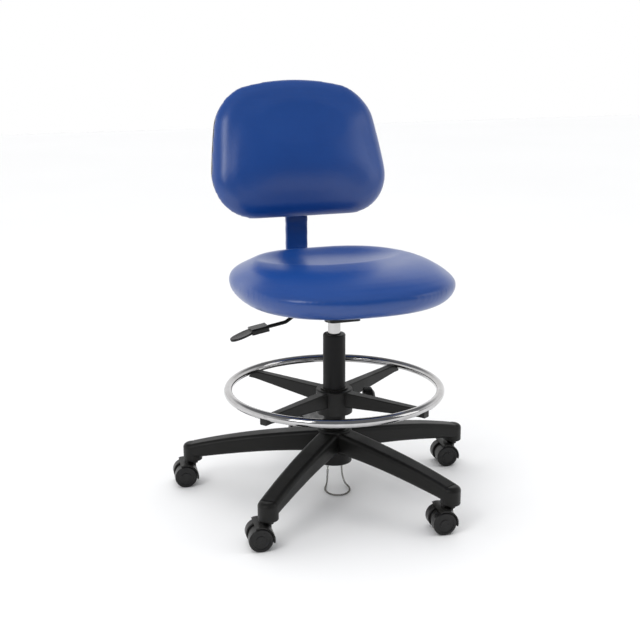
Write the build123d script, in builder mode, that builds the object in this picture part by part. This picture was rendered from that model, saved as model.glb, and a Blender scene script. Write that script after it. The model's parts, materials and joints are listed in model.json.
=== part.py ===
from build123d import *
import os
from math import copysign, cos, pi, radians, sin, sqrt, tan

# Drafting chair. Millimetres, +Z up, front of the seat towards -Y, the sitter's right towards -X.
# Origin: on the floor, on the axis of the gas column. Lift at its lowest.

# Fits
RUN = 0.05  # radial clearance of a shaft that turns or slides
GAP = 0.3  # room between plain faces that slide past each other
FACE = 0.1  # room between faces that turn on each other

# Casters
CASTER_COUNT = 5
CASTER_CIRCLE = 329.0  # axis of the column to a caster stem
CASTER_HEADING = -7.0  # the way every caster rolls, about +Z from +X
CASTER_TRAIL = 20.0  # stem axis to axle
WHEEL_RADIUS = 25.0
WHEEL_WIDTH = 22.0
WHEEL_SPACE = 18.0  # between the two wheels of one caster
WHEEL_CAP = 3.0  # closed outer wall of a wheel
WHEEL_EDGE = 2.5
WHEEL_RIM = 6.0  # tread to the ring pressed in a wheel's face
WHEEL_FACE_RING = 9.0
WHEEL_FACE_DEPTH = 1.4
WHEEL_TREAD_WALL = 5.0
WHEEL_BOSS_WALL = 5.0
WEB_THICKNESS = 13.0
HOOD_WALL = 3.0
HOOD_ROOM = 1.5  # between tread and hood
HOOD_FROM = -14.0  # start of the arc that the hood covers, about the axle
HOOD_TO = 112.0
HOOD_SHORT = 1.0  # how far the hood stops inside a wheel's face
WEB_SHORT = 4.0  # how far the web stops inside the tread
TIP_ROOM = 3.5  # between the hood and the arm over it
AXLE_RADIUS = 4.0
STEM_RADIUS = 5.5
STEM_LENGTH = 36.0  # inside the socket
STEM_START = 9.0  # above the axle's axis
STEM_POINT = 1.0
COLLAR_RADIUS = 10.0
COLLAR_THICKNESS = 1.5
BOSS_RADIUS = 11.0
SOCKET_WALL = 2.0

# Star base
BASE_YAW = 9.93  # first arm, about +Z from +X
ARM_TIP_RADIUS = 21.5
ARM_TIP_HEIGHT = 40.0
ARM_TIP_LOW_EDGE = 2.0
ARM_END_LIFT = 8.0  # an arm's end above the underside of its tip
ARM_END_HEIGHT = 33.0
ARM_WALL = 6.0
ARM_EDGE = 10.0  # rounding of an arm's edges
RIB_PITCH = 46.0
RIB_THICKNESS = 5.0
RIB_CELL_SHARE = 0.55  # depth of a cell as a share of the arm's height
HUB_RADIUS = 40.0
HUB_BOTTOM = 70.0
HUB_TOP = 150.0
HUB_EDGE = 6.0

# Column and gas lift
TUBE_RADIUS = 25.0
TUBE_WALL = 3.0
TUBE_BOTTOM = 73.0
TUBE_TOP = 366.0
BUSH_LENGTH = 78.0
BUSH_LIP = 2.5
BUSH_LIP_INSET = 0.5
BUSH_LIP_SLOPE = 1.0
BUSH_MOUTH = 2.0  # flare of the bush's mouth
BUSH_MOUTH_DEPTH = 1.5
CYLINDER_RADIUS = 14.0
CYLINDER_WALL = 2.0
CYLINDER_TOP = 430.0
TAPER_LENGTH = 33.0
TAPER_DROP = 0.6  # fall in radius over the taper
HEAD_THICKNESS = 38.0
GLAND_LENGTH = 18.0
GLAND_INSET = 1.0
VALVE_LENGTH = 16.0
PIN_RADIUS = 3.0
PIN_PROUD = 5.7
PIN_POINT = 1.0
PIN_START = 6.0  # above the underside of the valve block
ROD_RADIUS = 5.0
NECK_RADIUS = 4.0
PISTON_LENGTH = 12.0
PISTON_LAND = 4.0
PISTON_GROOVE = 2.0
PISTON_TOP = 350.0
BALL_RADIUS = 2.0
BALL_CIRCLE = 9.2
BALL_COUNT = 8
CAGE_THICKNESS = 1.6
CAGE_ROOM = 1.5  # between the cage and the rod's neck
RACE_RADIUS = 12.5
RACE_THICKNESS = 2.0
BUMPER_LENGTH = 13.0
BUMPER_RADIUS = 11.0
BUMPER_SLOPE = 2.0
BUMPER_SLOPE_HEIGHT = 3.0
CLIP_THICKNESS = 1.2
CLIP_WIDTH = 3.5
CLIP_MOUTH = 3.0
ROD_END_PROUD = 1.0
WASHER_THICKNESS = 1.7

# Drag chain: the tube that stands for its links, and the hooks that hold both ends
CHAIN_WIDTH = 5.0
HOOK_RADIUS = 2.0
HOOK_DROP = 14.0
HOOK_EYE = 3.4
HOOK_WIRE = 1.2
HOOK_SEAT = 5.0
CHAIN_ROUTE = [
    (-4.0, 33.0, 51.4),
    (-4.0, 33.0, 32.0),
    (-7.0, 28.0, 13.0),
    (-13.0, 16.0, 2.6),
    (-22.0, 2.0, 2.6),
    (-27.0, -13.0, 2.6),
    (-26.0, -30.0, 2.6),
    (-18.0, -44.0, 2.6),
    (-4.0, -51.0, 2.6),
    (11.0, -48.0, 2.6),
    (23.0, -37.0, 2.6),
    (30.0, -23.0, 2.6),
    (32.0, -7.0, 2.6),
    (29.0, 6.0, 4.6),
    (27.0, 16.0, 15.0),
    (26.0, 22.0, 32.0),
    (26.0, 22.0, 51.4),
]

# Foot ring
RING_YAW = 33.0  # first spoke, about +Z from +X
RING_RADIUS = 237.0
RING_TUBE_RADIUS = 9.5
RING_TUBE_WALL = 1.5
RING_HEIGHT = 242.0
SPOKE_COUNT = 4
RING_HUB_RADIUS = 41.0
RING_HUB_BOTTOM = 187.0
RING_HUB_TOP = 242.0
SLEEVE_WALL = 3.0
SLEEVE_LIP = 2.5
SLEEVE_SPLIT = 2.0
SPOKE_ROOT_WIDTH = 25.0
SPOKE_ROOT_BOTTOM = 205.0
SPOKE_ROOT_TOP = 240.0
SPOKE_TIP_WIDTH = 18.0
SPOKE_TIP_BOTTOM = 223.0
SPOKE_TIP_TOP = 241.0
SPOKE_END_REACH = 4.0  # past the heads of the ring's screws
SPOKE_EDGE = 2.5
SPOKE_ROOT_BITE = 3.0  # spoke's root outside the hub's bore
RING_HUB_EDGE = 3.0
RING_SCREW_RECESS = 1.0
RING_SCREW_HEAD_HEIGHT = 3.0
RING_SCREW_RADIUS = 2.5
RING_SCREW_HEAD = 4.2
RING_SCREW_REACH = 3.5  # into the ring's tube
RING_KNOB_HEIGHT = 213.0
RING_BOSS_RADIUS = 11.0
RING_BOSS_END = 53.0
RING_KNOB_START = 68.0

# Clamp knobs
KNOB_SCREW_RADIUS = 4.0
RING_KNOB_RADIUS = 26.0
RING_KNOB_LENGTH = 23.0
KNOB_RADIUS = 21.0
KNOB_LENGTH = 20.0
KNOB_FLUTES = 12
KNOB_FLUTE_RADIUS = 3.0
KNOB_FLUTE_OUTSET = 1.0
KNOB_DOME = 6.0
KNOB_DOME_STEP = 2.2
KNOB_DOME_SLOPE = 9.0
KNOB_COLLAR_SHARE = 0.45  # of the knob's radius
KNOB_COLLAR_LENGTH = 4.0
KNOB_STAND_OFF = 5.0  # knob's inner face to the boss it clamps
KNOB_SCREW_SEAT = 12.0

# Seat
SEAT_WIDTH = 470.0
SEAT_DEPTH = 458.0
SEAT_FORWARD = 46.0  # centre of the seat ahead of the column
SEAT_SQUARENESS = 2.45  # exponent of the outline: 2 is an ellipse
SEAT_UNDERSIDE = 462.0
SEAT_WIDEST = 500.0  # height of the cushion's rim
SEAT_TOP = 543.0
SEAT_OUTLINE_POINTS = 24
BOARD_THICKNESS = 12.0
COVER_THICKNESS = 0.9
BOARD_STEP = 1.0  # board's edge inside the foot of the cushion
CUSHION_HEM = 3.0  # how far the cushion hangs below the board
CUSHION_TOP_EDGE = 78.0  # from the rim in to the flat of the top
CUSHION_LOW_EDGE = 50.0
CUSHION_LEVELS = (-1.0, -0.85, -0.6, -0.3, 0.0, 0.3, 0.6, 0.85, 1.0)

# Mechanism under the seat
PLATE_THICKNESS = 3.0
PLATE_HALF_WIDTH = 95.0
PLATE_FRONT = -75.0
PLATE_REAR = 112.0
PLATE_CORNER = 12.0
FLANGE_THICKNESS = 2.0
FLANGE_SHORT = 30.0  # how much shorter the turned-down sides are
FLANGE_DROP = 5.0
BOLT_X = 78.0
BOLT_FRONT = -58.0
BOLT_REAR = 95.0
BOLT_RADIUS = 3.0
BOLT_HEAD_RADIUS = 6.0
BOLT_HEAD_HEIGHT = 4.0
BOLT_SHORT = 2.0  # end of a bolt below the top of the board
TNUT_BARREL = 4.5
TNUT_FLANGE = 9.0
TNUT_FLANGE_THICKNESS = 1.5
HOUSING_HALF_WIDTH = 35.0
HOUSING_WALL = 3.0
HOUSING_BOTTOM = 412.0
HOUSING_CORNER = 8.0
SOCKET_RADIUS = 21.5
LEVER_PIVOT_X = -28.0
LEVER_ROD_RADIUS = 4.0
LEVER_PIN_RADIUS = 2.0
LEVER_AXIS_HEIGHT = 440.0
LEVER_BEND = 16.0
LEVER_ROUTE = [
    # across, and up from the lever's axis
    (10.0, 0.0),
    (-58.0, 0.0),
    (-112.0, -35.5),
    (-190.0, -48.8),
]
LEVER_SLOT_HEIGHT = 17.0
LEVER_SLOT_CORNER = 3.0
GRIP_LENGTH = 36.0
GRIP_WIDTH = 36.0
GRIP_THICKNESS = 13.0
GRIP_CORNER = 4.0
GRIP_OVERRUN = 2.0  # into the blade
PADDLE_SLOPE = 20.0
PADDLE_REACH = 17.0  # rod's end to the blade's centre
PADDLE_HALF_LENGTH = 31.0
PADDLE_HALF_WIDTH = 17.5
PADDLE_THICKNESS = 7.0
PADDLE_EDGE = 2.0
DISH_RADIUS = 260.0
DISH_DEPTH = 2.4
LUG_THICKNESS = 3.0
LUG_INSIDE = 5.0
LUG_WIDTH = 10.0
LUG_OVER_PIN = 6.0

# Back bar
BAR_WIDTH = 50.0
BAR_THICKNESS = 6.0
BAR_BACK = 262.0  # column axis to the upright stretch
BAR_START = 45.0
BAR_BEND = 30.0
BAR_KINK_HEIGHT = 600.0
BAR_KINK_RADIUS = 60.0
BAR_UPPER_LENGTH = 170.0
GUIDE_FRONT = 60.0
GUIDE_REAR = 109.0
DEPTH_KNOB_Y = 86.0
DEPTH_BOSS_RADIUS = 10.0
DEPTH_BOSS_DROP = 6.0
SLEEVE_COVER_WALL = 4.0
SLEEVE_COVER_SIDE = 1.7
SLEEVE_COVER_START = 452.0
SLEEVE_COVER_CORNER = 2.0
SLEEVE_COVER_END = 3.0  # room between the sleeve and the bracket

# Backrest, in a plane that leans back
LEAN = 16.0
BACK_Y = 240.0
BACK_Z = 752.0
BACK_HALF_HEIGHT = 157.0
BACK_LOW_HALF_WIDTH = 215.0
BACK_TOP_HALF_WIDTH = 178.0
BACK_TOP_BOW = 34.0
BACK_SIDE_BOW = 7.0
BACK_LOW_BOW = 1.0
BACK_LOW_CORNER = 102.0
BACK_TOP_CORNER = 115.0
BACK_FRONT = 24.0
BACK_SEAM = -12.0
BACK_SHELL_REAR = -26.5
CUSHION_FRONT_EDGE = 15.0
CUSHION_REAR_EDGE = 4.0
SHELL_WALL = 2.5
SHELL_EDGE = 6.0
SHELL_STEP = 1.0  # shell inside the cushion's outline
SHELL_RIM = 6.0
BRACKET_LOW = -125.0
BRACKET_HIGH = -35.0
BRACKET_WALL = 2.5
BRACKET_PLATE_HALF = 55.0
BRACKET_WEB_X = 20.0
BRACKET_SCREW_X = 42.0
BRACKET_SCREW_RADIUS = 2.5
BRACKET_SCREW_HEAD = 5.0
BRACKET_SCREW_LENGTH = 12.0
BRACKET_SCREW_SHORT = 3.0  # end of a screw short of its hole's end
BRACKET_SCREW_HEAD_HEIGHT = 2.5
BRACKET_SCREW_END = 12.0  # screw to the end of the bracket
BRACKET_CORNER = 8.0
BACK_BOSS_RADIUS = 10.0
BACK_BOSS_LENGTH = 6.0
BACK_KNOB_V = -80.0

# Sizes that follow
ARM_ANGLES = [BASE_YAW + i * 360 / CASTER_COUNT for i in range(CASTER_COUNT)]
SPOKE_ANGLES = [RING_YAW + i * 360 / SPOKE_COUNT for i in range(SPOKE_COUNT)]
KNOB_ANGLE = RING_YAW - 180 / SPOKE_COUNT
HOOD_OUTSIDE = WHEEL_RADIUS + HOOD_ROOM + HOOD_WALL
ARM_TIP_UNDERSIDE = WHEEL_RADIUS + HOOD_OUTSIDE + TIP_ROOM
ARM_TIP_TOP = ARM_TIP_UNDERSIDE + ARM_TIP_HEIGHT
ARM_END_BOTTOM = ARM_TIP_UNDERSIDE + ARM_END_LIFT
SOCKET_TOP = ARM_TIP_UNDERSIDE + STEM_LENGTH
SOCKET_OUTER = STEM_RADIUS + RUN + SOCKET_WALL
TUBE_INSIDE = TUBE_RADIUS - TUBE_WALL
CYLINDER_BORE = CYLINDER_RADIUS - CYLINDER_WALL
BALL_HEIGHT = TUBE_BOTTOM + TUBE_WALL + BALL_RADIUS + RUN
RACE_BOTTOM = BALL_HEIGHT + BALL_RADIUS + RUN
SHOULDER = RACE_BOTTOM + RACE_THICKNESS
BUMPER_TOP = SHOULDER + BUMPER_LENGTH
CYLINDER_BOTTOM = BUMPER_TOP + FACE
CHAMBER_TOP = CYLINDER_TOP - HEAD_THICKNESS
SOCKET_BOTTOM = CYLINDER_TOP - TAPER_LENGTH
TUBE_BUSH_BOTTOM = TUBE_TOP - BUSH_LENGTH
SLEEVE_INSIDE = TUBE_RADIUS + RUN
SLEEVE_OUTSIDE = SLEEVE_INSIDE + SLEEVE_WALL
HUB_BORE = SLEEVE_OUTSIDE + RUN
PLATE_BOTTOM = SEAT_UNDERSIDE - PLATE_THICKNESS
HOUSING_FLOOR = HOUSING_BOTTOM + HOUSING_WALL
BAR_HEIGHT = HOUSING_FLOOR + GAP + BAR_THICKNESS / 2
FRAME_X = (1, 0, 0)
BACK_PLANE = Plane(
    origin=(0, BACK_Y, BACK_Z),
    x_dir=FRAME_X,
    z_dir=(0, -cos(radians(LEAN)), sin(radians(LEAN))),
)
# Where the leaning stretch of the bar lies behind the back's own plane
BAR_N = -(BAR_BACK - BACK_Y) * cos(radians(LEAN)) + (BAR_KINK_HEIGHT - BACK_Z) * sin(radians(LEAN))
BAR_KINK_V = (BAR_BACK - BACK_Y) * sin(radians(LEAN)) + (BAR_KINK_HEIGHT - BACK_Z) * cos(radians(LEAN))
GUIDE_HALF_X = BAR_WIDTH / 2 + GAP
GUIDE_HALF_N = BAR_THICKNESS / 2 + GAP


def save(piece, name):
    """Label a finished piece and write it as its own file."""
    piece.label = name
    export_step(piece, f"parts/{name}.step")


def polar(radius, angle, height=0.0):
    """Point at a radius and an angle about the column, in degrees."""
    return (radius * cos(radians(angle)), radius * sin(radians(angle)), height)


def radial_plane(radius, angle, height):
    """Plane that faces outwards at a radius and angle, with its X level and its Y up."""
    turn = radians(angle)
    return Plane(
        origin=polar(radius, angle, height),
        x_dir=(-sin(turn), cos(turn), 0),
        z_dir=(cos(turn), sin(turn), 0),
    )


def turned(profile_plane, points):
    """Revolve a closed profile of (radius, height) points about the local Z of a plane."""
    with BuildPart() as piece:
        side = Plane(origin=profile_plane.origin, x_dir=profile_plane.x_dir, z_dir=-profile_plane.y_dir)
        with BuildSketch(side):
            with BuildLine():
                Polyline(*points, close=True)
            make_face()
        revolve(axis=Axis(profile_plane.origin, profile_plane.z_dir))
    return piece.part


def column_piece(points):
    """Revolve a closed profile of (radius, height) points about the column."""
    return turned(Plane.XY, points)


# ---------------------------------------------------------------- star base

ARM_SECTIONS = [
    # distance from the column, underside, top, width
    (22.0, 96.0, 147.0, 50.0),
    (134.0, 92.0, 135.0, 48.0),
    (230.0, 81.0, 120.5, 45.0),
    (CASTER_CIRCLE, ARM_END_BOTTOM, ARM_END_BOTTOM + ARM_END_HEIGHT, 43.0),
]


def arm_tip():
    """Turned-down end of an arm, standing over the origin."""
    with BuildPart() as tip:
        with BuildSketch(Plane.XY.offset(ARM_TIP_UNDERSIDE)):
            Circle(ARM_TIP_RADIUS)
        extrude(amount=ARM_TIP_TOP - ARM_TIP_UNDERSIDE)
        fillet(tip.edges().group_by(Axis.Z)[-1], radius=ARM_EDGE)
        fillet(tip.edges().group_by(Axis.Z)[0], radius=ARM_TIP_LOW_EDGE)
    return tip.part


def build_star_base():
    tip = arm_tip()
    with BuildPart() as star_base:
        with BuildSketch(Plane.XY.offset(HUB_BOTTOM)):
            Circle(HUB_RADIUS)
        extrude(amount=HUB_TOP - HUB_BOTTOM)
        fillet(star_base.edges().group_by(Axis.Z)[-1], radius=HUB_EDGE)
        for angle in ARM_ANGLES:
            for distance, low, high, width in ARM_SECTIONS:
                with BuildSketch(radial_plane(distance, angle, (low + high) / 2)):
                    RectangleRounded(width, high - low, ARM_EDGE)
            loft()
            with Locations(polar(CASTER_CIRCLE, angle)):
                add(tip)
        for angle in ARM_ANGLES:
            cell_start = HUB_RADIUS + RIB_THICKNESS
            while cell_start + RIB_PITCH < CASTER_CIRCLE - ARM_TIP_RADIUS:
                middle = cell_start + (RIB_PITCH - RIB_THICKNESS) / 2
                low, high, width = arm_at(middle)
                with BuildSketch(radial_plane(cell_start, angle, low - RIB_PITCH)):
                    Rectangle(
                        width - 2 * ARM_WALL - ARM_EDGE / 2,
                        RIB_PITCH + (high - low) * RIB_CELL_SHARE,
                        align=(Align.CENTER, Align.MIN),
                    )
                extrude(amount=RIB_PITCH - RIB_THICKNESS, mode=Mode.SUBTRACT)
                cell_start += RIB_PITCH
            with BuildSketch(Plane(polar(CASTER_CIRCLE, angle, ARM_TIP_UNDERSIDE))):
                Circle(SOCKET_OUTER)
            extrude(amount=STEM_LENGTH, mode=Mode.SUBTRACT)
        with BuildSketch(Plane.XY.offset(HUB_BOTTOM)):
            Circle(TUBE_RADIUS)
        extrude(amount=HUB_TOP - HUB_BOTTOM, mode=Mode.SUBTRACT)
        with BuildSketch(Plane.XY.offset(HUB_BOTTOM)):
            with Locations(*[point[:2] for point in (CHAIN_ROUTE[0], CHAIN_ROUTE[-1])]):
                Circle(HOOK_RADIUS)
        extrude(amount=HOOK_SEAT, mode=Mode.SUBTRACT)
    save(star_base.part, "star_base")


def arm_at(distance):
    """Underside, top and width of an arm at a distance from the column."""
    for near, far in zip(ARM_SECTIONS, ARM_SECTIONS[1:]):
        if distance <= far[0]:
            share = (distance - near[0]) / (far[0] - near[0])
            return tuple(a + share * (b - a) for a, b in zip(near[1:], far[1:]))
    return ARM_SECTIONS[-1][1:]


def build_caster_sockets():
    with BuildPart() as caster_sockets:
        for angle in ARM_ANGLES:
            with BuildSketch(Plane(polar(CASTER_CIRCLE, angle, ARM_TIP_UNDERSIDE))):
                Circle(SOCKET_OUTER)
                Circle(STEM_RADIUS + RUN, mode=Mode.SUBTRACT)
            extrude(amount=STEM_LENGTH)
    save(caster_sockets.part, "caster_sockets")


# ---------------------------------------------------------------- casters


def caster_plane(angle):
    """Plane on the floor under a caster's stem, with X the way it rolls."""
    turn = radians(CASTER_HEADING)
    return Plane(
        origin=polar(CASTER_CIRCLE, angle),
        x_dir=(cos(turn), sin(turn), 0),
        z_dir=(0, 0, 1),
    )


def axle_plane(stand, side, offset):
    """Plane across the axle, facing the given side, a distance off the caster's middle."""
    return Plane(
        origin=stand.from_local_coords((-CASTER_TRAIL, side * offset, WHEEL_RADIUS)),
        x_dir=stand.x_dir,
        z_dir=side * stand.y_dir,
    )


def build_wheel(stand, side, name):
    inner = axle_plane(stand, side, WHEEL_SPACE / 2)
    outer = axle_plane(stand, side, WHEEL_SPACE / 2 + WHEEL_WIDTH)
    with BuildPart() as wheel:
        with BuildSketch(inner):
            Circle(WHEEL_RADIUS)
        extrude(amount=WHEEL_WIDTH)
        fillet(wheel.edges().filter_by(GeomType.CIRCLE), radius=WHEEL_EDGE)
        with BuildSketch(outer):
            Circle(WHEEL_RADIUS - WHEEL_RIM)
            Circle(WHEEL_RADIUS - WHEEL_RIM - WHEEL_FACE_RING, mode=Mode.SUBTRACT)
        extrude(amount=-WHEEL_FACE_DEPTH, mode=Mode.SUBTRACT)
        with BuildSketch(inner):
            Circle(WHEEL_RADIUS - WHEEL_TREAD_WALL)
            Circle(AXLE_RADIUS + WHEEL_BOSS_WALL, mode=Mode.SUBTRACT)
        extrude(amount=WHEEL_WIDTH / 2, mode=Mode.SUBTRACT)
        with BuildSketch(inner):
            Circle(AXLE_RADIUS + RUN)
        extrude(amount=WHEEL_WIDTH - WHEEL_CAP, mode=Mode.SUBTRACT)
    save(wheel.part, name)


def build_hood(stand, name):
    middle = axle_plane(stand, -1, 0)
    inner_radius = WHEEL_RADIUS + HOOD_ROOM
    half_width = WHEEL_SPACE / 2 + WHEEL_WIDTH - HOOD_SHORT
    start, sweep_angle = HOOD_FROM, HOOD_TO - HOOD_FROM
    boss_top = ARM_TIP_UNDERSIDE - FACE - COLLAR_THICKNESS
    boss_bottom = WHEEL_RADIUS + sqrt(inner_radius**2 - (CASTER_TRAIL - BOSS_RADIUS) ** 2)
    with BuildPart() as hood:
        with BuildSketch(middle):
            with BuildLine():
                outer_arc = CenterArc((0, 0), HOOD_OUTSIDE, start, sweep_angle)
                inner_arc = CenterArc((0, 0), inner_radius, start, sweep_angle)
                Line(outer_arc @ 0, inner_arc @ 0)
                Line(outer_arc @ 1, inner_arc @ 1)
            make_face()
        extrude(amount=half_width, both=True)
        with BuildSketch(middle):
            Circle(WHEEL_RADIUS - WEB_SHORT)
            with BuildLine():
                web_arc = CenterArc((0, 0), inner_radius + HOOD_WALL / 2, start, sweep_angle)
                Line(web_arc @ 0, (0, 0))
                Line((0, 0), web_arc @ 1)
            make_face()
        extrude(amount=WEB_THICKNESS / 2, both=True)
        with BuildSketch(Plane(stand.origin, x_dir=stand.x_dir).offset(WHEEL_RADIUS)):
            Circle(WEB_THICKNESS / 2)
        extrude(amount=boss_top - WHEEL_RADIUS)
        with BuildSketch(Plane(stand.origin, x_dir=stand.x_dir).offset(boss_top)):
            Circle(BOSS_RADIUS)
        extrude(amount=boss_bottom - boss_top)
        with BuildSketch(middle):
            Circle(AXLE_RADIUS)
        extrude(amount=WEB_THICKNESS, both=True, mode=Mode.SUBTRACT)
        with BuildSketch(Plane(stand.origin, x_dir=stand.x_dir).offset(boss_top)):
            Circle(STEM_RADIUS)
        extrude(amount=WHEEL_RADIUS + STEM_START - boss_top, mode=Mode.SUBTRACT)
    save(hood.part, name)


def build_caster_pins(stand, name):
    """Swivel stem with its collar, and the axle that both wheels turn on."""
    half_axle = WHEEL_SPACE / 2 + WHEEL_WIDTH - WHEEL_CAP - 2 * GAP
    collar_bottom = ARM_TIP_UNDERSIDE - FACE - COLLAR_THICKNESS
    with BuildPart() as pins:
        with BuildSketch(axle_plane(stand, 1, 0)):
            Circle(AXLE_RADIUS)
        extrude(amount=half_axle, both=True)
        with BuildSketch(Plane(stand.origin).offset(WHEEL_RADIUS + STEM_START)):
            Circle(STEM_RADIUS)
        extrude(amount=SOCKET_TOP - STEM_POINT - WHEEL_RADIUS - STEM_START)
        chamfer(pins.edges().group_by(Axis.Z)[-1], length=STEM_POINT)
        with BuildSketch(Plane(stand.origin).offset(collar_bottom)):
            Circle(COLLAR_RADIUS)
        extrude(amount=COLLAR_THICKNESS)
    save(pins.part, name)


def build_casters():
    for index, angle in enumerate(ARM_ANGLES, start=1):
        stand = caster_plane(angle)
        build_hood(stand, f"caster_{index}_hood")
        build_caster_pins(stand, f"caster_{index}_pins")
        build_wheel(stand, 1, f"caster_{index}_wheel_left")
        build_wheel(stand, -1, f"caster_{index}_wheel_right")


# ---------------------------------------------------------------- column and gas lift


def build_column_tube():
    tube = column_piece(
        [
            (NECK_RADIUS + RUN, TUBE_BOTTOM),
            (TUBE_RADIUS, TUBE_BOTTOM),
            (TUBE_RADIUS, TUBE_TOP),
            (TUBE_INSIDE, TUBE_TOP),
            (TUBE_INSIDE, TUBE_BOTTOM + TUBE_WALL),
            (NECK_RADIUS + RUN, TUBE_BOTTOM + TUBE_WALL),
        ]
    )
    save(tube, "column_tube")
    bush = column_piece(
        [
            (CYLINDER_RADIUS + RUN, TUBE_BUSH_BOTTOM),
            (TUBE_INSIDE, TUBE_BUSH_BOTTOM),
            (TUBE_INSIDE, TUBE_TOP),
            (TUBE_RADIUS - BUSH_LIP_INSET, TUBE_TOP),
            (TUBE_RADIUS - BUSH_LIP_INSET - BUSH_LIP_SLOPE, TUBE_TOP + BUSH_LIP),
            (CYLINDER_RADIUS + BUSH_MOUTH, TUBE_TOP + BUSH_LIP),
            (CYLINDER_RADIUS + RUN, TUBE_TOP + BUSH_LIP - BUSH_MOUTH_DEPTH),
        ]
    )
    save(bush, "column_bush")


def build_bearing():
    with BuildPart() as cage:
        with BuildSketch(Plane.XY.offset(BALL_HEIGHT - CAGE_THICKNESS / 2)):
            Circle(RACE_RADIUS)
            Circle(NECK_RADIUS + CAGE_ROOM, mode=Mode.SUBTRACT)
            with PolarLocations(BALL_CIRCLE, BALL_COUNT):
                Circle(BALL_RADIUS + RUN, mode=Mode.SUBTRACT)
        extrude(amount=CAGE_THICKNESS)
        with Locations(Plane.XY.offset(BALL_HEIGHT)):
            with PolarLocations(BALL_CIRCLE, BALL_COUNT):
                Sphere(BALL_RADIUS)
    save(cage.part, "ball_cage")
    race = column_piece(
        [
            (NECK_RADIUS, RACE_BOTTOM),
            (RACE_RADIUS, RACE_BOTTOM),
            (RACE_RADIUS, SHOULDER),
            (NECK_RADIUS, SHOULDER),
        ]
    )
    save(race, "upper_race")


def build_piston():
    washer_top = TUBE_BOTTOM - FACE
    clip_top = washer_top - WASHER_THICKNESS
    rod_end = clip_top - CLIP_THICKNESS - ROD_END_PROUD
    piston_bottom = PISTON_TOP - PISTON_LENGTH
    rod = column_piece(
        [
            (0, rod_end),
            (NECK_RADIUS, rod_end),
            (NECK_RADIUS, SHOULDER),
            (ROD_RADIUS, SHOULDER),
            (ROD_RADIUS, PISTON_TOP),
            (0, PISTON_TOP),
        ]
    )
    save(rod, "piston_rod")
    piston = column_piece(
        [
            (ROD_RADIUS, piston_bottom),
            (CYLINDER_BORE - RUN, piston_bottom),
            (CYLINDER_BORE - RUN, piston_bottom + PISTON_LAND),
            (CYLINDER_BORE - PISTON_GROOVE, piston_bottom + PISTON_LAND),
            (CYLINDER_BORE - PISTON_GROOVE, PISTON_TOP - PISTON_LAND),
            (CYLINDER_BORE - RUN, PISTON_TOP - PISTON_LAND),
            (CYLINDER_BORE - RUN, PISTON_TOP),
            (ROD_RADIUS, PISTON_TOP),
        ]
    )
    save(piston, "piston_head")
    bumper = column_piece(
        [
            (ROD_RADIUS, SHOULDER),
            (BUMPER_RADIUS, SHOULDER),
            (BUMPER_RADIUS, BUMPER_TOP - BUMPER_SLOPE_HEIGHT),
            (BUMPER_RADIUS - BUMPER_SLOPE, BUMPER_TOP),
            (ROD_RADIUS, BUMPER_TOP),
        ]
    )
    save(bumper, "rubber_bumper")
    with BuildPart() as clip:
        with BuildSketch(Plane.XY.offset(washer_top)):
            Circle(RACE_RADIUS)
            Circle(NECK_RADIUS, mode=Mode.SUBTRACT)
        extrude(amount=-WASHER_THICKNESS)
        with BuildSketch(Plane.XY.offset(clip_top - GAP)):
            Circle(NECK_RADIUS + CLIP_WIDTH)
            Circle(NECK_RADIUS, mode=Mode.SUBTRACT)
            with Locations((NECK_RADIUS + CLIP_WIDTH / 2, 0)):
                Rectangle(2 * CLIP_WIDTH, CLIP_MOUTH, mode=Mode.SUBTRACT)
        extrude(amount=-CLIP_THICKNESS)
    save(clip.part, "rod_clip")


def build_gas_cylinder():
    tip_radius = CYLINDER_RADIUS - TAPER_DROP
    cylinder = column_piece(
        [
            (CYLINDER_BORE, CYLINDER_BOTTOM),
            (CYLINDER_RADIUS, CYLINDER_BOTTOM),
            (CYLINDER_RADIUS, SOCKET_BOTTOM),
            (tip_radius, CYLINDER_TOP),
            (PIN_RADIUS + RUN, CYLINDER_TOP),
            (PIN_RADIUS + RUN, CHAMBER_TOP),
            (CYLINDER_BORE, CHAMBER_TOP),
        ]
    )
    save(cylinder, "gas_cylinder")
    gland_bottom = CYLINDER_BOTTOM + GLAND_INSET
    with BuildPart() as plugs:
        with BuildSketch(Plane.XY.offset(gland_bottom)):
            Circle(CYLINDER_BORE)
            Circle(ROD_RADIUS + RUN, mode=Mode.SUBTRACT)
        extrude(amount=GLAND_LENGTH)
        with BuildSketch(Plane.XY.offset(CHAMBER_TOP)):
            Circle(CYLINDER_BORE)
            Circle(PIN_RADIUS + RUN, mode=Mode.SUBTRACT)
        extrude(amount=-VALVE_LENGTH)
    save(plugs.part, "cylinder_plugs")
    pin_bottom = CHAMBER_TOP - VALVE_LENGTH + PIN_START
    pin = column_piece(
        [
            (0, pin_bottom),
            (PIN_RADIUS, pin_bottom),
            (PIN_RADIUS, CYLINDER_TOP + PIN_PROUD - PIN_POINT),
            (PIN_RADIUS - PIN_POINT, CYLINDER_TOP + PIN_PROUD),
            (0, CYLINDER_TOP + PIN_PROUD),
        ]
    )
    save(pin, "release_pin")
    socket = column_piece(
        [
            (CYLINDER_RADIUS, SOCKET_BOTTOM),
            (SOCKET_RADIUS, SOCKET_BOTTOM),
            (SOCKET_RADIUS, CYLINDER_TOP),
            (tip_radius, CYLINDER_TOP),
        ]
    )
    save(socket, "taper_socket")


# ---------------------------------------------------------------- drag chain


def corner_radii(points):
    """Radius of each arc along a route: 0.45 of its shorter run over the tangent of half its turn."""
    radii = []
    for before, here, after in zip(points, points[1:], points[2:]):
        first, second = Vector(*here) - Vector(*before), Vector(*after) - Vector(*here)
        half_turn = radians(first.get_angle(second)) / 2
        radii.append(0.45 * min(first.length, second.length) / tan(half_turn))
    return radii


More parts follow.
